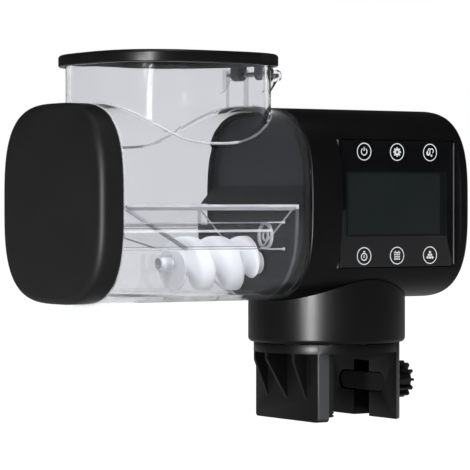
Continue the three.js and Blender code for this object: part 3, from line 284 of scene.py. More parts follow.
def edge_stations(at, direction, radius, outline, steps=6):
    """Stations of a quarter round that ends an outline at a place, its tip pointing the way of the direction."""
    stations = []
    for step in range(steps + 1):
        angle = step / steps * math.pi / 2
        inwards = radius * (1 - math.cos(angle))
        stations.append((at - direction * radius * (1 - math.sin(angle)), outline(inwards)))
    return stations


def as_piece(name, mesh):
    data = bpy.data.meshes.new(name)
    mesh.to_mesh(data)
    mesh.free()
    piece = bpy.data.objects.new(name, data)
    bpy.context.scene.collection.objects.link(piece)
    return piece


def taken(piece):
    """The piece's mesh, with the piece itself taken out of the scene."""
    mesh = bmesh.new()
    mesh.from_mesh(piece.data)
    bpy.data.objects.remove(piece)
    return mesh


def settle(piece):
    """Makes the piece's modifiers its mesh."""
    view = bpy.context.evaluated_depsgraph_get()
    settled = bpy.data.meshes.new_from_object(piece.evaluated_get(view), preserve_all_data_layers=True, depsgraph=view)
    piece.modifiers.clear()
    piece.data = settled


def combine(piece, meshes, operation):
    for mesh in meshes:
        tool = as_piece("tool", mesh)
        modifier = piece.modifiers.new(operation, "BOOLEAN")
        modifier.operation = operation
        modifier.solver = "EXACT"
        modifier.object = tool
        settle(piece)
        bpy.data.objects.remove(tool)


def cut(piece, *meshes):
    combine(piece, meshes, "DIFFERENCE")


def join(piece, *meshes):
    combine(piece, meshes, "UNION")


def keep(piece, *meshes):
    combine(piece, meshes, "INTERSECT")


def tidy_mesh(piece):
    """Merges doubles and dissolves slivers that cuts leave."""
    mesh = bmesh.new()
    mesh.from_mesh(piece.data)
    bmesh.ops.remove_doubles(mesh, verts=mesh.verts, dist=0.004)
    bmesh.ops.dissolve_degenerate(mesh, edges=mesh.edges, dist=0.004)
    mesh.to_mesh(piece.data)
    mesh.free()


def round_edges(piece, width, segments=2, angle=EDGE_ANGLE, material=-1):
    tidy_mesh(piece)
    modifier = piece.modifiers.new("edges", "BEVEL")
    modifier.width = width
    modifier.segments = segments
    modifier.limit_method = "ANGLE"
    modifier.angle_limit = angle
    modifier.material = material
    modifier.use_clamp_overlap = True
    settle(piece)


def strut(start, end, radius, sides=16):
    """Round bar between two places."""
    run = Vector(end) - Vector(start)
    mesh = rod("Z", radius, 0, run.length, sides=sides)
    turn = Matrix.Translation(start) @ run.to_track_quat("Z", "Y").to_matrix().to_4x4()
    bmesh.ops.transform(mesh, matrix=turn, verts=mesh.verts)
    return mesh


def sweep(path, radius, sides=8):
    """Round bar along a closed path of places."""
    frames = []
    for index, place in enumerate(path):
        run = Vector(path[(index + 1) % len(path)]) - Vector(path[index - 1])
        frames.append(Matrix.Translation(place) @ run.to_track_quat("Z", "Y").to_matrix().to_4x4())
    mesh = bmesh.new()
    verts = bmesh.ops.create_circle(mesh, segments=sides, radius=radius)["verts"]
    first = ring = mesh.edges[:]
    bmesh.ops.transform(mesh, matrix=frames[0], verts=verts)
    for before, after in zip(frames, frames[1:]):
        grown = bmesh.ops.extrude_edge_only(mesh, edges=ring)["geom"]
        verts = {item for item in grown if isinstance(item, bmesh.types.BMVert)}
        ring = [edge for edge in {edge for vert in verts for edge in vert.link_edges} if set(edge.verts) <= verts]
        bmesh.ops.transform(mesh, matrix=after @ before.inverted(), verts=list(verts))
    bmesh.ops.bridge_loops(mesh, edges=[*first, *ring])
    bmesh.ops.recalc_face_normals(mesh, faces=mesh.faces)
    return mesh


def split_faces(piece, axis, at):
    """Divides the faces that cross a plane, so that each side can have its own look."""
    mesh = bmesh.new()
    mesh.from_mesh(piece.data)
    everything = [*mesh.verts, *mesh.edges, *mesh.faces]
    bmesh.ops.bisect_plane(mesh, geom=everything, dist=0.001, plane_co=along(axis, 0, 0, at),
                           plane_no=along(axis, 0, 0, 1))
    mesh.to_mesh(piece.data)
    mesh.free()


def close_seams(piece):
    mesh = bmesh.new()
    mesh.from_mesh(piece.data)
    bmesh.ops.holes_fill(mesh, edges=[edge for edge in mesh.edges if edge.is_boundary])
    mesh.to_mesh(piece.data)
    mesh.free()


def mark_faces(piece, index, chosen):
    """Gives the faces that pass the test, by centre and normal, the material at the index."""
    for face in piece.data.polygons:
        if chosen(face.center, face.normal):
            face.material_index = index


def finish(piece, rides_on, materials, replaced=(), on_head=True):
    """Places a drawn piece in metres, and gives it its materials and its body."""
    close_seams(piece)
    place = Matrix.Translation((JOINT_X, 0, AXIS_Z)) if on_head else Matrix.Identity(4)
    piece.data.transform(Matrix.Diagonal((MM, MM, MM, 1)) @ place)
    indices = [face.material_index for face in piece.data.polygons]
    piece.data.materials.clear()
    for material in materials:
        piece.data.materials.append(material)
    piece.data.polygons.foreach_set("material_index", indices)
    piece.data.shade_smooth()
    piece.data.set_sharp_from_angle(angle=SMOOTH_ANGLE)
    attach(piece, rides_on)
    if replaced:
        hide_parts(*replaced)
    return piece


# Hopper

BARREL_LEFT = -94
BARREL_RIGHT = -0.3
BARREL_WALL = 2.2
NECK_X = -46.7
NECK_HALF_LENGTH = 40.3
NECK_HALF_DEPTH = 40
NECK_ROUND = 0.333
NECK_TOP = 60.8
HINGE_X = -3
HINGE_RISE = 56
KNUCKLE_RADIUS = 2.6
OUTLET_X = (-94.3, -69.9)
OUTLET_HALF_WIDTH = 18.5
HINGE_PIN_HOLE = 1.3
HINGE_EAR_Y = 18.5
HINGE_EAR_HALF_WIDTH = 1.5
BARREL_FLOOR = -38
BARREL_LIP = 0.4
NECK_REFLECTION_RISE = (42, 58)
NECK_FILLET_RADIUS = 0.6


def neck(inset):
    return rounded_square(NECK_HALF_LENGTH - inset, NECK_HALF_DEPTH - inset, NECK_ROUND)


def neck_solid(inset, top):
    return loft("Z", [(0, neck(inset)), (top, neck(inset))], (NECK_X, 0))


def hinge_ear(y):
    root = NECK_X + NECK_HALF_LENGTH - BARREL_WALL + 0.4
    outline = [(root, HINGE_RISE - 8), (root + 2, HINGE_RISE - 7)]
    for step in range(9):
        angle = (step / 8 - 0.5) * math.pi
        outline.append((HINGE_X + KNUCKLE_RADIUS * math.cos(angle), HINGE_RISE + KNUCKLE_RADIUS * math.sin(angle)))
    outline.append((root, HINGE_RISE + KNUCKLE_RADIUS))
    return slab("Y", outline, y - HINGE_EAR_HALF_WIDTH, y + HINGE_EAR_HALF_WIDTH)


def make_hopper():
    piece = as_piece("hopper_shell", loft("X", [(BARREL_LEFT, body(0)), (BARREL_RIGHT, body(0))]))
    join(piece, neck_solid(0, NECK_TOP), hinge_ear(HINGE_EAR_Y), hinge_ear(-HINGE_EAR_Y))
    cut(piece, loft("X", [(BARREL_LEFT - OVERRUN, body(BARREL_WALL)), (BARREL_RIGHT + OVERRUN, body(BARREL_WALL))]))
    cut(piece, neck_solid(BARREL_WALL, NECK_TOP + OVERRUN))
    cut(piece, block((OUTLET_X[0] + 2.9, OUTLET_X[1] - 1.3), (-17.2, 17.2), (-50, -20)))
    cut(piece, rod("Y", HINGE_PIN_HOLE, -40, 40, (HINGE_X, HINGE_RISE), COARSE))
    # Rounded edges, the barrel's left lip and the upward faces of its floor take the lighter clear materials: painted
    # highlight lines.
    round_edges(piece, 0.55, 3, material=1)
    split_faces(piece, "X", BARREL_LEFT + BARREL_LIP)
    mark_faces(piece, 1, lambda centre, normal: centre.x < BARREL_LEFT + BARREL_LIP)
    mark_faces(piece, 2, lambda centre, normal: centre.z < BARREL_FLOOR and normal.z > 0.5)
    finish(piece, "head", CLEAR_SOLID, ["hopper_barrel"])


def body_rise(y):
    """Height of the barrel's outside above its axis, at a place across it."""
    return HALF_HEIGHT * (1 - (abs(y) / HALF_DEPTH) ** (1 / BODY_ROUND)) ** BODY_ROUND


def make_neck_lines():
    """Fillet where neck and barrel meet, coloured as a painted highlight that is fainter on the hinge side; and two
    thin bars inside the neck's wall beside the hinge, painted reflection bands.
    """
    path = []
    for step in range(FINE):
        angle = math.tau * step / FINE
        reach = neck(0)(angle)
        y = reach * math.sin(angle)
        path.append((NECK_X + reach * math.cos(angle), y, body_rise(y)))
    piece = as_piece("neck_fillet", sweep(path, NECK_FILLET_RADIUS))
    # The hinge side of the fillet takes the fainter painted highlight.
    mark_faces(piece, 1, lambda centre, normal: centre.x > NECK_X + 10)
    finish(piece, "head", [clear_gleam, clear_faint_highlight])
    wall = NECK_X + NECK_HALF_LENGTH - BARREL_WALL
    # Two thin bars in the faint highlight material: painted reflection bands on the neck's wall.
    ribs = as_piece("neck_reflection_bars", block((wall - 0.5, wall - 0.1), (-6.2, -2.6), NECK_REFLECTION_RISE))
    join(ribs, block((wall - 0.5, wall - 0.1), (9.7, 11.7), NECK_REFLECTION_RISE))
    finish(ribs, "head", [clear_faint_highlight])


# Feed path inside the hopper

AUGER_Z = -26
AUGER_SPAN = (-45.4, -7.6)
TROUGH_RADIUS = 12.3
FUNNEL_BOTTOM = -20
FUNNEL_RIM = -2.8
FUNNEL_TOP = -0.3
FUNNEL_SHEET = 1.5
FUNNEL_INSET = 2.5
FUNNEL_LEFT = -93.7
FUNNEL_LEFT_RUN = 48.3
FUNNEL_HALF = 40.8
FUNNEL_HALF_RUN = 28.5
END_PLATE = (-7.3, -5.7)
TUBE_CENTRE = (-33.9, -13.7)
TUBE_RADIUS = 5.9
TUBE_RIGHT = -18.3


def well(sheet, high, low):
    """Space between the funnel's sloping walls, between two heights."""
    mesh = bmesh.new()
    rings = []
    for z in (low, high):
        share = z / FUNNEL_BOTTOM
        left = FUNNEL_LEFT + FUNNEL_LEFT_RUN * share - sheet
        half = FUNNEL_HALF - FUNNEL_HALF_RUN * share + sheet
        right = END_PLATE[0] + sheet
        corners = [(left, -half, z), (right, -half, z), (right, half, z), (left, half, z)]
        rings.append([mesh.verts.new(corner) for corner in corners])
    for ring in rings:
        mesh.faces.new(ring)
    edges = [mesh.edges.get((ring[i], ring[i - 1])) for ring in rings for i in range(4)]
    bmesh.ops.bridge_loops(mesh, edges=edges)
    bmesh.ops.recalc_face_normals(mesh, faces=mesh.faces)
    return mesh


def make_funnel():
    piece = as_piece("funnel_tray", well(FUNNEL_SHEET, FUNNEL_TOP, FUNNEL_BOTTOM))
    cut(piece, well(0, OVERRUN, FUNNEL_BOTTOM - OVERRUN))
    join(piece, block(END_PLATE, (-44, 44), (-44, FUNNEL_TOP)))
    keep(piece, loft("X", [(-91.5, body(FUNNEL_INSET)), (END_PLATE[1], body(FUNNEL_INSET))]))
    cut(piece, rod("X", TUBE_RADIUS + 0.3, -100, -7.6, TUBE_CENTRE))
    cut(piece, rod("X", 5.5, -100, 0, (0, AUGER_Z)))
    join(piece, rod("X", 1.4, -18.8, -6, TUBE_CENTRE, COARSE))
    # Rounded edges and the top rim take the bright line material: painted highlight lines.
    round_edges(piece, 0.3, 2, material=1)
    split_faces(piece, "Z", FUNNEL_RIM)
    mark_faces(piece, 1, lambda centre, normal: centre.z > FUNNEL_RIM and centre.x < END_PLATE[0] + 0.2)
    finish(piece, "head", CLEAR_THIN, ["funnel_insert"])


def make_funnel_lines():
    """Painted highlight lines: thin bright bars along the funnel's corners and along the sides of its tube seat, and a
    faint ring on the rim of its end plate.
    """
    left, bottom_left, right = (-92, -46, END_PLATE[0] - 0.3)
    piece = as_piece("funnel_highlight_lines", strut((left, -39, -1.5), (bottom_left, -13, -19.4), 0.9))
    for start, end in (((right, -39.4, -1.5), (right, -13, -19.4)), ((right, 39.4, -1.5), (right, 13, -19.4)),
                       ((left, 39, -1.5), (bottom_left, 13, -19.4))):
        join(piece, strut(start, end, 0.4))
    for rise in (-5.7, 5.7):
        seat = (TUBE_CENTRE[0], TUBE_CENTRE[1] + rise)
        join(piece, strut((-17.6, *seat), (-9.4, *seat), 0.3), strut((-9.8, *seat), (-9.1, *seat), 0.7))
    finish(piece, "head", [clear_highlight_line])
    rim = as_piece("end_plate_rim", loft("X", [(END_PLATE[0], body(2.55)), (END_PLATE[1], body(2.55))]))
    cut(rim, loft("X", [(-20, body(2.8)), (0, body(2.8))]), block((-20, 0), (-50, 50), (-0.5, 50)))
    finish(rim, "head", [clear_faint_highlight])


TROUGH_SPAN = (-68, -7.6)
TROUGH_OPEN_FROM = -45.7
TROUGH_WALL = 1.3
TROUGH_TOP = -20.3
TROUGH_ROOF = -21.6


def trough_outline(radius, top):
    points = [(radius, top), (-radius, top)]
    for step in range(25):
        angle = math.pi * (1 + step / 24)
        points.append((radius * math.cos(angle), AUGER_Z + radius * math.sin(angle)))
    return points


def make_trough():
    piece = as_piece("feed_trough", slab("X", trough_outline(TROUGH_RADIUS + TROUGH_WALL, TROUGH_TOP), *TROUGH_SPAN))
    cut(piece, slab("X", trough_outline(TROUGH_RADIUS, TROUGH_TOP + 3.3), TROUGH_OPEN_FROM, -4))
    cut(piece, slab("X", trough_outline(TROUGH_RADIUS, TROUGH_ROOF), TROUGH_SPAN[0] - OVERRUN, TROUGH_SPAN[1]))
    # Rounded edges take the bright line material: painted highlight lines.
    round_edges(piece, 0.3, 2, material=1)
    finish(piece, "head", CLEAR_THIN, ["auger_trough"])


BEARING_SPAN = (-54.1, -52.4)
BEARING_RADIUS = 12
BEARING_BORE = 10.4
BEARING_HUB_RADIUS = 4
BEARING_PIN_RADIUS = 2.6


def make_bearing():
    piece = as_piece("auger_bearing", rod("X", BEARING_RADIUS, *BEARING_SPAN, (0, AUGER_Z)))
    cut(piece, rod("X", BEARING_BORE, -60, -50, (0, AUGER_Z)))
    for spoke in range(3):
        angle = spoke * math.tau / 3 + math.pi / 2
        turn = Matrix.Translation((0, 0, AUGER_Z)) @ Matrix.Rotation(angle, 4, "X")
        arm = block(BEARING_SPAN, (0, 11.2), (-1, 1))
        bmesh.ops.transform(arm, matrix=turn, verts=arm.verts)
        join(piece, arm)
    join(piece, rod("X", BEARING_HUB_RADIUS, *BEARING_SPAN, (0, AUGER_Z), COARSE))
    cut(piece, block((-60, -50), (-20, 20), (-21.9, 0)))
    pin = edge_stations(AUGER_SPAN[0] - 0.2, 1, 0.5, lambda inwards: round_bar(BEARING_PIN_RADIUS - inwards), 4)
    join(piece, loft("X", [(-52.7, round_bar(BEARING_PIN_RADIUS)), *pin], (0, AUGER_Z), COARSE))
    # Rounded edges take the bright line material: painted highlight lines.
    round_edges(piece, 0.25, 2, material=1)
    mark_faces(piece, 2, lambda centre, normal: centre.x > -52.2)
    finish(piece, "head", (*CLEAR_THIN, auger_white), ["bearing_spider"])


AUGER_RADIUS = 11.8
AUGER_CORE = 5
AUGER_PITCH = 14.9
AUGER_PHASE = 0.8
AUGER_STATIONS = 150


def flight(at):
    """Outline of the auger at a place: one broad flight with a rounded groove down to the core."""
    def reach(angle):
        phase = math.tau * at / AUGER_PITCH - angle + math.tau * AUGER_PHASE
        crest = 1 - ((1 - math.cos(phase)) / 2) ** 3
        return AUGER_CORE + (AUGER_RADIUS - AUGER_CORE) * crest
    return reach


def make_auger():
    stations = []
    for index in range(AUGER_STATIONS + 1):
        at = AUGER_SPAN[0] + (AUGER_SPAN[1] - AUGER_SPAN[0]) * index / AUGER_STATIONS
        stations.append((at, flight(at)))
    piece = as_piece("feed_auger", loft("X", stations, (0, AUGER_Z), 72))
    join(piece, rod("X", AUGER_CORE, -20, -4.9, (0, AUGER_Z)))
    cut(piece, block((-7.1, 0), (-12, 12), (AUGER_Z - 1.5, AUGER_Z + 1.5)))
    finish(piece, "drive", [auger_white], ["auger_screw"])


def make_outlet():
    piece = as_piece("outlet_frame", block(OUTLET_X, (-OUTLET_HALF_WIDTH, OUTLET_HALF_WIDTH), (-46, -42.8)))
    join(piece, block((OUTLET_X[0] + 3.2, OUTLET_X[1] - 1.6), (-16.9, 16.9), (-43.1, -40.3)))
    cut(piece, block((OUTLET_X[0] + 4.8, OUTLET_X[1] - 3.2), (-15.3, 15.3), (-49, 0)))
    cut(piece, block((OUTLET_X[0] + 1.6, OUTLET_X[1] - 1.6), (-16.9, 16.9), (-49, -44.4)))
    # Rounded edges take the bright line material: painted highlight lines.
    round_edges(piece, 0.3, 2, material=1)
    finish(piece, "head", (clear_frame, clear_highlight_line), ["outlet_spout"])


def make_tube():
    ends = edge_stations(TUBE_RIGHT, 1, 0.5, lambda inwards: round_bar(TUBE_RADIUS - inwards), 3)
    piece = as_piece("feed_tube", loft("X", [(-102.6, round_bar(TUBE_RADIUS)), *ends], TUBE_CENTRE, MEDIUM))
    cut(piece, rod("X", TUBE_RADIUS - 1.1, -105, TUBE_RIGHT - 1.1, TUBE_CENTRE))
    cut(piece, rod("X", 1.7, -22, -15, TUBE_CENTRE, COARSE))
    # Rounded edges take the bright line material: painted highlight lines.
    round_edges(piece, 0.25, 2, material=1)
    # Front bands: the first two entries are painted highlight lines, the third is painted shade.
    for index, bands in ((1, ((5.4, 6),)), (2, ((1.9, 2.8), (-5.75, -5.1))), (3, ((3.1, 3.7), (4.3, 5.4), (-4.7, -4)))):
        mark_faces(piece, index, lambda centre, normal: abs(normal.x) < 0.3 and centre.y < TUBE_CENTRE[0] and
                   any(low < centre.z - TUBE_CENTRE[1] < high for low, high in bands) and
                   math.dist((centre.y, centre.z), TUBE_CENTRE) > TUBE_RADIUS - 0.4)
    finish(piece, "cap", CLEAR_BAR, ["hopper_tube"])
    # End ring and hub in the bright band material: painted highlight.
    ring = as_piece("feed_tube_end", rod("X", TUBE_RADIUS - 0.05, TUBE_RIGHT - 1, TUBE_RIGHT - 0.1, TUBE_CENTRE))
    cut(ring, rod("X", TUBE_RADIUS - 1.3, -30, 0, TUBE_CENTRE))
    hub = as_piece("hub", rod("X", 2.4, TUBE_RIGHT - 1, TUBE_RIGHT - 0.1, TUBE_CENTRE, COARSE))
    cut(hub, rod("X", 1.8, -30, 0, TUBE_CENTRE, COARSE))
    join(ring, taken(hub))
    finish(ring, "cap", [clear_highlight_band])


# End cap

CAP_LEFT = -106.3
CAP_RIGHT = -94.3
CAP_CROWN = 1
CAP_EDGE = 3.4


def make_cap():
    stations = []
    for share in (0.02, 0.2, 0.4, 0.6, 0.8):
        stations.append((CAP_LEFT + CAP_CROWN * share ** 2, body((HALF_HEIGHT - 0.6) * (1 - share))))
    stations += reversed(edge_stations(CAP_LEFT + CAP_CROWN, -1, CAP_EDGE, body, 10))
    stations.append((CAP_RIGHT - 0.3, body(0)))
    stations.append((CAP_RIGHT, body(0.3)))
    piece = as_piece("end_cap_shell", loft("X", stations))
    cut(piece, loft("X", [(-102.9, body(2.4)), (-90, body(2.4))]))
    lip = as_piece("lip", loft("X", [(-103.5, body(2.7)), (-94.4, body(2.7)), (-94.2, body(2.9))]))
    cut(lip, loft("X", [(-110, body(4.7)), (-90, body(4.7))]))
    join(piece, taken(lip))
    finish(piece, "cap", [satin_black], ["end_cap"])


# Lid

LID_BOTTOM = 59.3
LID_TOP = 65.2
LID_CROWN = 0.7
LID_CEILING = 62.6
LID_WALL = 2.4
LID_EDGE = 1.4


def lid_outline(inset):
    return rounded_square(43.2 - inset, 42.9 - inset, NECK_ROUND)


def hinge_lug(y):
    outline = [(HINGE_X - KNUCKLE_RADIUS, LID_BOTTOM + 0.3), (HINGE_X - KNUCKLE_RADIUS, HINGE_RISE)]
    for step in range(9):
        angle = math.pi * (1 + step / 8)
        outline.append((HINGE_X + KNUCKLE_RADIUS * math.cos(angle), HINGE_RISE + KNUCKLE_RADIUS * math.sin(angle)))
    outline.append((HINGE_X + KNUCKLE_RADIUS, LID_BOTTOM + 0.3))
    return slab("Y", outline, y - 3, y + 3)


def make_lid():
    rim = edge_stations(LID_TOP - LID_CROWN, 1, LID_EDGE, lid_outline, 8)
    crown = [(LID_TOP - LID_CROWN * (1 - rise), lid_outline(inset))
             for inset, rise in ((6, 0.3), (14, 0.62), (24, 0.88), (34, 0.98), (42, 1))]
    stations = [(LID_BOTTOM, lid_outline(0.4)), (LID_BOTTOM + 0.4, lid_outline(0)), *rim, *crown]
    piece = as_piece("hopper_lid", loft("Z", stations, (NECK_X, 0)))
    cut(piece, loft("Z", [(50, lid_outline(LID_WALL)), (LID_CEILING, lid_outline(LID_WALL))], (NECK_X, 0)))
    near_neck = loft("Z", [(40, neck(-0.5)), (61.1, neck(-0.5))], (NECK_X, 0))
    for y in (-10, 10):
        lug = as_piece("lug", hinge_lug(y))
        cut(lug, near_neck.copy())
        join(piece, taken(lug))
    near_neck.free()
    cut(piece, rod("Y", HINGE_PIN_HOLE, -40, 40, (HINGE_X, HINGE_RISE), COARSE))
    finish(piece, "lid", [lid_black], ["lid"])


# Bulkhead

def make_bulkhead():
    piece = as_piece("hopper_end_wall", loft("X", [(0, body(2.9)), (0.2, body(2.7)), (3, body(2.7))]))
    ledge = as_piece("ledge", slab("Y", [(0.3, 0), (0.3, 8), (0, 8), (-7, 0)], -43, 43))
    keep(ledge, loft("X", [(-8, body(4.4)), (1, body(4.4))]))
    join(piece, taken(ledge))
    cut(piece, rod("X", 5.8, -OVERRUN, 6, (0, AUGER_Z)))
    for y in (-16, 16):
        for side in (-1, 1):
            join(piece, block((2.7, 9), (y - 4, y + 4), (min(side * 35.5, side * 37.5), max(side * 35.5, side * 37.5))))
    for y in (-21.6, 29.6):
        for z in (-28.6, 23.6):
            join(piece, rod("X", 3.2, 2.7, 11.7, (y, z), COARSE))
    round_edges(piece, 0.25)
    # The ledge's faces take the darker grey: painted shade.
    mark_faces(piece, 1, lambda centre, normal: centre.x < -0.3)
    finish(piece, "head", [wall_grey, ledge_painted_shade], ["bulkhead"])


# Housing

HOUSING_LENGTH = 86
HOUSING_EDGE = 2.4
PANEL_Y = -38.7
PANEL_BACK = -34.2
RECESS_X = (15.6, 81)
LENS_X = (17.5, 79.1)
LENS_HALF_HEIGHT = 28


def make_housing():
    right = edge_stations(HOUSING_LENGTH, 1, HOUSING_EDGE, body, 8)
    far_end = [(HOUSING_LENGTH, body(inset)) for inset in (12, 24, 36, 42)]
    piece = as_piece("housing_body", loft("X", [(0, body(0.3)), (0.3, body(0)), *right, *far_end]))
    hollow = as_piece("hollow", loft("X", [(-OVERRUN, body(2.4)), (HOUSING_LENGTH - 2.4, body(2.4))]))
    cut(hollow, block((12, 90), (-50, PANEL_BACK), (-50, 50)))
    cut(piece, taken(hollow))
    for name in ("display", "touch_strip_1", "touch_strip_2"):
        low, high = (Vector(corner) / MM - Vector((JOINT_X, 0, AXIS_Z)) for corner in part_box(name))
        cut(piece, block((low.x - 0.3, high.x + 0.3), (low.y - 0.3, PANEL_BACK + 1), (low.z - 0.3, high.z + 0.3)))
    cut(piece, block(RECESS_X, (-50, PANEL_Y), (-40, 40)))
    cut(piece, block((LENS_X[0] - 0.3, LENS_X[1] + 0.3), (-50, PANEL_Y + 1.9), (-28.3, 28.3)))
    cut(piece, rod("Y", INLET_RADIUS + 0.3, 30, 50, INLET_PLACE))
    round_edges(piece, 0.5, 3)
    finish(piece, "head", [housing_black], ["housing_shell"])


def make_recess_lines():
    """Narrow light-grey bars along the recess, one on each side of the panel: painted highlights where the recess's
    edges catch the light.
    """
    left, right, front = (RECESS_X[0] + 0.4, RECESS_X[1] - 1, PANEL_Y - 0.1)
    piece = as_piece("recess_highlight_bars", strut((left, front, -28), (left, front, 28), 0.5))
    join(piece, strut((right, front, -27), (right, front, 27), 0.3))
    finish(piece, "head", [recess_painted_highlight])


def make_panel():
    piece = as_piece("panel_glass", block(LENS_X, (PANEL_Y, PANEL_Y + 1.6), (-LENS_HALF_HEIGHT, LENS_HALF_HEIGHT)))
    round_edges(piece, 0.35, 3)
    finish(piece, "head", [panel_black], ["panel_lens"])


def plate_on_panel(name, xs, zs, thickness, material):
    corner = 0.6
    middle = ((xs[0] + xs[1]) / 2, (zs[0] + zs[1]) / 2)
    outline = rounded_rectangle((xs[1] - xs[0]) / 2, (zs[1] - zs[0]) / 2, corner, middle)
    piece = as_piece(name, slab("Y", outline, PANEL_Y - thickness, PANEL_Y + 0.2))
    finish(piece, "head", [material])


def make_display():
    plate_on_panel("display_surround", (20.6, 76.2), (-14.3, 14.3), 0.02, display_frame)
    plate_on_panel("display_window", (21.5, 72.2), (-13.4, 13.4), 0.04, display_grey)


# Printed keys: flat marks a little proud of the panel

PRINT_DEPTH = 0.05
KEY_X = (30.4, 48.4, 66.7)
KEY_RISE = 22.9
KEY_RADIUS = 3.9


def band(mesh, centre, outer, inner, start=0.0, turn=math.tau, steps=40):
    """Flat ring or part of one, spun from its radial edge."""
    first = mesh.verts.new((centre[0] + inner * math.cos(start), 0, centre[1] + inner * math.sin(start)))
    second = mesh.verts.new((centre[0] + outer * math.cos(start), 0, centre[1] + outer * math.sin(start)))
    edge = mesh.edges.new((first, second))
    bmesh.ops.spin(mesh, geom=[first, second, edge], cent=(centre[0], 0, centre[1]), axis=(0, -1, 0), angle=turn,
                   steps=steps, use_merge=turn == math.tau)


def dot(mesh, centre, radius, sides=24):
    verts = bmesh.ops.create_circle(mesh, cap_ends=True, segments=sides, radius=radius)["verts"]
    bmesh.ops.rotate(mesh, matrix=Matrix.Rotation(math.pi / 2, 3, "X"), verts=verts)
    bmesh.ops.translate(mesh, vec=(centre[0], 0, centre[1]), verts=verts)


def bar(mesh, start, end, width):
    """Straight stroke between two places."""
    run = Vector((end[0] - start[0], 0, end[1] - start[1]))
    side = Vector((-run.z, 0, run.x)).normalized() * width / 2
    low = Vector((start[0], 0, start[1]))
    mesh.faces.new([mesh.verts.new(p) for p in (low - side, low + run - side, low + run + side, low + side)])


def power_mark(mesh, x, z):
    band(mesh, (x, z), 1.75, 1.3, math.radians(125), math.radians(290), 30)
    bar(mesh, (x, z + 0.3), (x, z + 2), 0.45)


def gear_mark(mesh, x, z):
    band(mesh, (x, z), 1.5, 0.6)
    for tooth in range(8):
        angle = tooth * math.tau / 8
        bar(mesh, (x + 1.4 * math.cos(angle), z + 1.4 * math.sin(angle)),
            (x + 2.1 * math.cos(angle), z + 2.1 * math.sin(angle)), 0.75)


def leaf_mark(mesh, x, z):
    band(mesh, (x - 0.9, z - 0.3), 1.15, 0.35, math.radians(100), math.radians(300), 24)
    band(mesh, (x + 0.9, z + 0.7), 1.2, 0.75, math.radians(-60), math.radians(280), 24)
    bar(mesh, (x - 1.2, z + 0.9), (x - 0.3, z + 1.9), 0.5)
    dot(mesh, (x + 0.8, z - 1.4), 0.5)


def stopwatch_mark(mesh, x, z):
    band(mesh, (x, z - 0.35), 1.75, 1.3)
    bar(mesh, (x, z - 0.5), (x, z + 0.5), 0.4)
    bar(mesh, (x - 0.6, z + 1.9), (x + 0.6, z + 1.9), 0.5)
    dot(mesh, (x, z - 0.4), 0.4)


def calendar_mark(mesh, x, z):
    for row in (-1.5, -0.5, 0.5):
        for column in (-1.15, 0, 1.15):
            bar(mesh, (x + column - 0.38, z + row), (x + column + 0.38, z + row), 0.7)
    bar(mesh, (x - 1.7, z + 1.35), (x + 1.7, z + 1.35), 0.5)
    for hook in (-0.9, 0.9):
        bar(mesh, (x + hook, z + 1.4), (x + hook, z + 2.1), 0.4)


def grains_mark(mesh, x, z):
    for row, count in enumerate((1, 2, 3)):
        for index in range(count):
            dot(mesh, (x + (index - (count - 1) / 2) * 1.35, z + 1.35 - row * 1.2), 0.58)


def face_front(mesh):
    """Turns every face of a flat mark towards the display's side."""
    for face in mesh.faces:
        face.normal_update()
        if face.normal.y > 0:
            face.normal_flip()


def make_keys():
    marks = {
        "power": (0, 1, power_mark), "setting": (1, 1, gear_mark), "feed": (2, 1, leaf_mark),
        "timer": (0, -1, stopwatch_mark), "calendar": (1, -1, calendar_mark), "portion": (2, -1, grains_mark),
    }
    for name, (column, row, mark) in marks.items():
        x = KEY_X[column]
        z = row * KEY_RISE
        mesh = bmesh.new()
        band(mesh, (x, z), KEY_RADIUS, KEY_RADIUS - 0.42, steps=48)
        mark(mesh, x, z)
        face_front(mesh)
        bmesh.ops.solidify(mesh, geom=mesh.faces[:], thickness=PRINT_DEPTH)
        bmesh.ops.recalc_face_normals(mesh, faces=mesh.faces)
        bmesh.ops.translate(mesh, vec=(0, PANEL_Y - PRINT_DEPTH / 2, 0), verts=mesh.verts)
        piece = as_piece("key_mark_" + name, mesh)
        finish(piece, "head", [key_print])


INLET_PLACE = (70, -22)
INLET_RADIUS = 5.5
INLET_MOUTH = 41.6


def make_inlet():
    mouth = INLET_MOUTH
    piece = as_piece("power_socket", loft("Y", [
        (mouth - 12, round_bar(INLET_RADIUS)), (mouth - 0.4, round_bar(INLET_RADIUS)), (mouth, round_bar(5.1))],
        INLET_PLACE, MEDIUM))
    cut(piece, rod("Y", 3.2, mouth - 8, mouth + OVERRUN, INLET_PLACE, MEDIUM))
    tip = edge_stations(mouth - 1, 1, 0.6, lambda inwards: round_bar(1 - inwards), 4)
    join(piece, loft("Y", [(mouth - 10, round_bar(1)), *tip], INLET_PLACE, COARSE))
    round_edges(piece, 0.2)
    finish(piece, "head", [knob_black], ["power_inlet"])


# Collar

COLLAR_X = 37.5
COLLAR_FOOT = -62
COLLAR_RADIUS = 35.5
COLLAR_WALL = 2.4
POST_X = (22, 53)
POST_Y = (-15.5, 15.5)
POST_RADIUS = 3.6


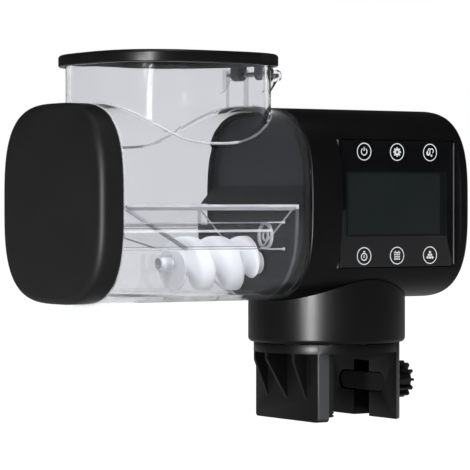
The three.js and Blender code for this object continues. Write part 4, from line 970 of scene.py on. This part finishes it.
def make_collar():
    foot = reversed(edge_stations(COLLAR_FOOT, -1, 2, lambda inwards: round_bar(COLLAR_RADIUS - inwards), 8))
    piece = as_piece("swivel_collar", loft("Z", [*foot, (-18, round_bar(COLLAR_RADIUS))], (COLLAR_X, 0)))
    cut(piece, rod("Z", COLLAR_RADIUS - COLLAR_WALL, COLLAR_FOOT + COLLAR_WALL, 0, (COLLAR_X, 0), FINE))
    for x in POST_X:
        for y in POST_Y:
            join(piece, rod("Z", POST_RADIUS, COLLAR_FOOT + 1, -30, (x, y), COARSE))
            cut(piece, rod("Z", 1.5, -50, 0, (x, y), COARSE))
    cut(piece, loft("X", [(-OVERRUN, body(-0.3)), (HOUSING_LENGTH + OVERRUN, body(-0.3))]))
    cut(piece, rod("Z", 7.5, COLLAR_FOOT - OVERRUN, COLLAR_FOOT + 6, (COLLAR_X, 0)))
    round_edges(piece, 0.35, 2)
    finish(piece, "head", [clamp_grey], ["collar"])


# Rim clamp, drawn from the origin

DISC_RADIUS = 33
DISC_TOP = 4
JAW_LEFT = -22
JAW_RIGHT = -16.1
JAW_HALF_WIDTH = 25
CLAMP_LOW = -30.2
ARM_LEFT = 19.5
SCREW_Z = -14.4
SCREW_BORE = 2.6
FOOT_PLATE = (21.1, 24.5)
FOOT_FACE = (19.8, 20.8)


def fin(y):
    reach = math.sqrt(DISC_RADIUS ** 2 - y ** 2)
    outline = [(JAW_LEFT + 0.5, 0.5), (-reach, 0.5), (-reach, -2.7), (JAW_LEFT, -20.6), (JAW_LEFT + 0.5, -20.6)]
    return slab("Y", outline, y - 0.9, y + 0.9)


def make_clamp():
    piece = as_piece("rim_clamp", rod("Z", DISC_RADIUS, 0, DISC_TOP, sides=FINE))
    join(piece, slab("X", rounded_rectangle(JAW_HALF_WIDTH, -CLAMP_LOW, 2.2), JAW_LEFT, JAW_RIGHT))
    join(piece, slab("X", rounded_rectangle(DISC_RADIUS, -CLAMP_LOW, 2.2), ARM_LEFT, DISC_RADIUS))
    join(piece, fin(-15.4), fin(0), fin(15.4))
    keep(piece, rod("Z", DISC_RADIUS, -40, DISC_TOP, sides=FINE))
    join(piece, rod("Z", 7, DISC_TOP - 0.5, 7.3, sides=MEDIUM))
    cut(piece, block((ARM_LEFT - OVERRUN, 29), (-5.8, 5.8), (-40, -4.9)))
    cut(piece, slab("X", rounded_rectangle(17.6, 4.6, 4.6, (0, SCREW_Z), 10), ARM_LEFT - OVERRUN, 25))
    cut(piece, rod("X", 4.7, ARM_LEFT, 40, (0, SCREW_Z)))
    cut(piece, rod("Z", 2.3, 1.2, 20, sides=COARSE))
    groove = as_piece("groove", rod("Z", 30.3, 3, 8, sides=FINE))
    cut(groove, rod("Z", 26.7, 0, 12, sides=FINE))
    cut(piece, taken(groove))
    round_edges(piece, 0.45, 3)
    # The jaw's front faces take the lighter grey: painted highlight.
    mark_faces(piece, 1, lambda centre, normal: normal.y < -0.9 and JAW_LEFT < centre.x < JAW_RIGHT and
               centre.y < -20 and centre.z < 0)
    finish(piece, "clamp", [clamp_grey, clamp_painted_highlight], ["clamp_frame"], on_head=False)


PAD_TEETH = 20
PAD_HEIGHT = 27.7
PAD_BASE = 1.4
PAD_TIP = 2.3


def make_jaw_pad():
    back = JAW_RIGHT + 0.3
    low = -28
    pitch = PAD_HEIGHT / PAD_TEETH
    outline = [(back, low), (back + PAD_BASE, low)]
    for tooth in range(PAD_TEETH):
        start = low + tooth * pitch
        outline += [(back + PAD_TIP, start + 0.35 * pitch), (back + PAD_TIP, start + 0.6 * pitch),
                    (back + PAD_BASE, start + 0.98 * pitch)]
    outline.append((back, -0.3))
    piece = as_piece("jaw_pad_ribbed", slab("Y", outline, -JAW_HALF_WIDTH, JAW_HALF_WIDTH))
    round_edges(piece, 0.12, 2)
    finish(piece, "clamp", [rubber_black], ["jaw_pad"], on_head=False)


def ribbed(tip, root, count, share):
    """Outline of the thumb wheel: narrow ribs around a round body."""
    def reach(angle):
        wave = (1 + math.cos(count * angle)) / 2
        rise = min(1, max(0, (wave - (1 - share)) / share * 2.2))
        return root + (tip - root) * (3 * rise ** 2 - 2 * rise ** 3)
    return reach


def make_thumb_wheel():
    stations = []
    for at, inset in ((33.3, 0.6), (33.9, 0), (43.1, 0), (43.7, 0.6)):
        stations.append((at, ribbed(8.45 - inset, 5.9 - inset / 2, 12, 0.28)))
    piece = as_piece("thumb_wheel_ribbed", loft("X", stations, (0, SCREW_Z), 288))
    join(piece, rod("X", 4.4, 26.3, 34, (0, SCREW_Z)))
    cut(piece, rod("X", SCREW_BORE, 20, 50, (0, SCREW_Z), COARSE))
    finish(piece, "wheel", [knob_black], ["thumb_wheel"], on_head=False)


def make_foot():
    outline = rounded_rectangle(16.8, 4.1, 4.1, (0, SCREW_Z), 10)
    piece = as_piece("pressure_foot_plate", slab("X", outline, *FOOT_PLATE))
    cut(piece, rod("X", SCREW_BORE, 22.8, 30, (0, SCREW_Z), COARSE))
    round_edges(piece, 0.5, 3)
    finish(piece, "clamp_foot", [clamp_grey], ["pressure_foot"], on_head=False)
    pad = as_piece("pressure_foot_face", slab("X", outline, *FOOT_FACE))
    round_edges(pad, 0.3, 2)
    finish(pad, "clamp_foot", [rubber_black], ["foot_pad"], on_head=False)


# CAD nodes that show as they are

NODE_FINISHES = {
    "steel": (steel, ["wheel_retainer", "clamp_screw", "swivel_washer", "swivel_screw", "gear_motor", "motor_shaft",
                      "idler_axle", "drive_shaft", "lid_hinge_pin"]),
    "screws": (steel, [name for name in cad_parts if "_screw_" in name]),
    "white": (white_plastic, ["swivel_glide_ring", "gear_plate", "motor_pinion", "idler_gear", "drive_gear",
                              "drive_coupling"]),
    "rubber": (rubber_black, ["touch_strip_1", "touch_strip_2", "shaft_seal", "barrel_seal", "cap_seal",
                              "lid_gasket"]),
    "board": (board_green, ["control_board"]),
    "leads": (lead_red, ["motor_lead", "inlet_lead"]),
    "display": (display_grey, ["display"]),
}


def dress_nodes():
    for material, names in NODE_FINISHES.values():
        for name in names:
            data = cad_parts[name].data
            data.materials.clear()
            data.materials.append(material)


# Studio

FLOOR_Z = -0.115
VIEW_TURN = math.radians(33.6)
VIEW_DISTANCE = 1.13
VIEW_POINT = Vector((-0.0375, 0, 0.0663))
FRAME_PIXELS = 470
PIXELS_PER_METRE = 2250
VIEW_POINT_PIXEL = (257.5, 203.8)
SENSOR_WIDTH = 36
ROOM_LIGHT = 6
REFLECTED_LIGHT = 0.04


def larger(tree, first, second):
    node = tree.nodes.new("ShaderNodeMath")
    node.operation = "MAXIMUM"
    tree.links.new(first, node.inputs[0])
    tree.links.new(second, node.inputs[1])
    return node.outputs["Value"]


def seen_directly(tree):
    """One for what the camera sees itself or through clear pieces, nought for what only lights the object."""
    path = tree.nodes.new("ShaderNodeLightPath")
    return larger(tree, path.outputs["Is Camera Ray"], path.outputs["Is Transmission Ray"])


def make_floor():
    mesh = bmesh.new()
    bmesh.ops.create_grid(mesh, x_segments=1, y_segments=1, size=6)
    bmesh.ops.translate(mesh, vec=(0, 0, FLOOR_Z), verts=mesh.verts)
    floor = as_piece("floor", mesh)
    material, shader = new_material("pale_floor")
    shader.inputs["Base Color"].default_value = (0.07, 0.07, 0.07, 1)
    shader.inputs["Roughness"].default_value = 0.9
    shader.inputs["Specular IOR Level"].default_value = 0.1
    shader.inputs["Emission Color"].default_value = (1, 1, 1, 1)
    seen = seen_directly(material.node_tree)
    strength = material.node_tree.nodes.new("ShaderNodeMath")
    strength.operation = "MULTIPLY"
    strength.inputs[1].default_value = 0.72
    link(material, seen, strength.inputs[0])
    link(material, strength.outputs["Value"], shader.inputs["Emission Strength"])
    floor.data.materials.append(material)


def blend_values(tree, factor, low, high):
    node = tree.nodes.new("ShaderNodeMapRange")
    node.inputs["To Min"].default_value = low
    node.inputs["To Max"].default_value = high
    tree.links.new(factor, node.inputs["Value"])
    return node.outputs["Result"]


def make_world():
    """White room: seen as plain white, stronger as the light on matt surfaces, dim in reflections."""
    world = bpy.data.worlds.new("studio")
    world.use_nodes = True
    bpy.context.scene.world = world
    tree = world.node_tree
    background = tree.nodes["Background"]
    background.inputs["Color"].default_value = (1, 1, 1, 1)
    path = tree.nodes.new("ShaderNodeLightPath")
    shown = blend_values(tree, seen_directly(tree), REFLECTED_LIGHT, 1)
    lights = blend_values(tree, path.outputs["Diffuse Depth"], 0, ROOM_LIGHT)
    tree.links.new(larger(tree, shown, lights), background.inputs["Strength"])


def aim(thing, target):
    thing.rotation_euler = (Vector(target) - thing.location).to_track_quat("-Z", "Y").to_euler()


def add_softbox(name, azimuth, elevation, distance, width, height, power):
    """Rectangular lamp, its azimuth in degrees from the display side towards the housing's end."""
    lamp = bpy.data.lights.new(name, "AREA")
    lamp.shape = "RECTANGLE"
    lamp.size = width
    lamp.size_y = height
    lamp.energy = power
    lamp_object = bpy.data.objects.new(name, lamp)
    turn = math.radians(azimuth)
    rise = math.radians(elevation)
    direction = Vector((math.sin(turn) * math.cos(rise), -math.cos(turn) * math.cos(rise), math.sin(rise)))
    lamp_object.location = VIEW_POINT + direction * distance
    aim(lamp_object, VIEW_POINT)
    bpy.context.scene.collection.objects.link(lamp_object)


def make_lamps():
    add_softbox("strip_low", -56.6, -6, 1.2, 0.18, 0.1, 22)
    add_softbox("strip_high", -42, 12, 1.2, 0.16, 0.36, 4.4)
    add_softbox("front", 0, 40, 1.6, 0.9, 0.6, 0.6)
    add_softbox("top", -20, 80, 1.2, 1.0, 0.8, 3)
    add_softbox("right", 75, 20, 1.4, 0.4, 0.9, 0.15)


def make_camera():
    camera = bpy.data.cameras.new("camera")
    camera.sensor_width = SENSOR_WIDTH
    camera.lens = PIXELS_PER_METRE * VIEW_DISTANCE / FRAME_PIXELS * SENSOR_WIDTH
    camera.shift_x = (FRAME_PIXELS / 2 - VIEW_POINT_PIXEL[0]) / FRAME_PIXELS
    camera.shift_y = (VIEW_POINT_PIXEL[1] - FRAME_PIXELS / 2) / FRAME_PIXELS
    camera.clip_start = 0.05
    camera_object = bpy.data.objects.new("camera", camera)
    forward = Vector((math.sin(VIEW_TURN), math.cos(VIEW_TURN), 0))
    camera_object.location = VIEW_POINT - forward * VIEW_DISTANCE
    camera_object.rotation_euler = (math.pi / 2, 0, -VIEW_TURN)
    bpy.context.scene.collection.objects.link(camera_object)
    bpy.context.scene.camera = camera_object


for make in (make_hopper, make_neck_lines, make_funnel, make_funnel_lines, make_trough, make_bearing, make_auger,
             make_outlet, make_tube, make_cap, make_lid, make_bulkhead, make_housing, make_recess_lines, make_panel,
             make_display, make_keys, make_inlet, make_collar, make_clamp, make_jaw_pad, make_thumb_wheel, make_foot,
             dress_nodes, make_floor, make_world, make_lamps, make_camera):
    make()
bpy.context.scene.view_settings.view_transform = "Standard"
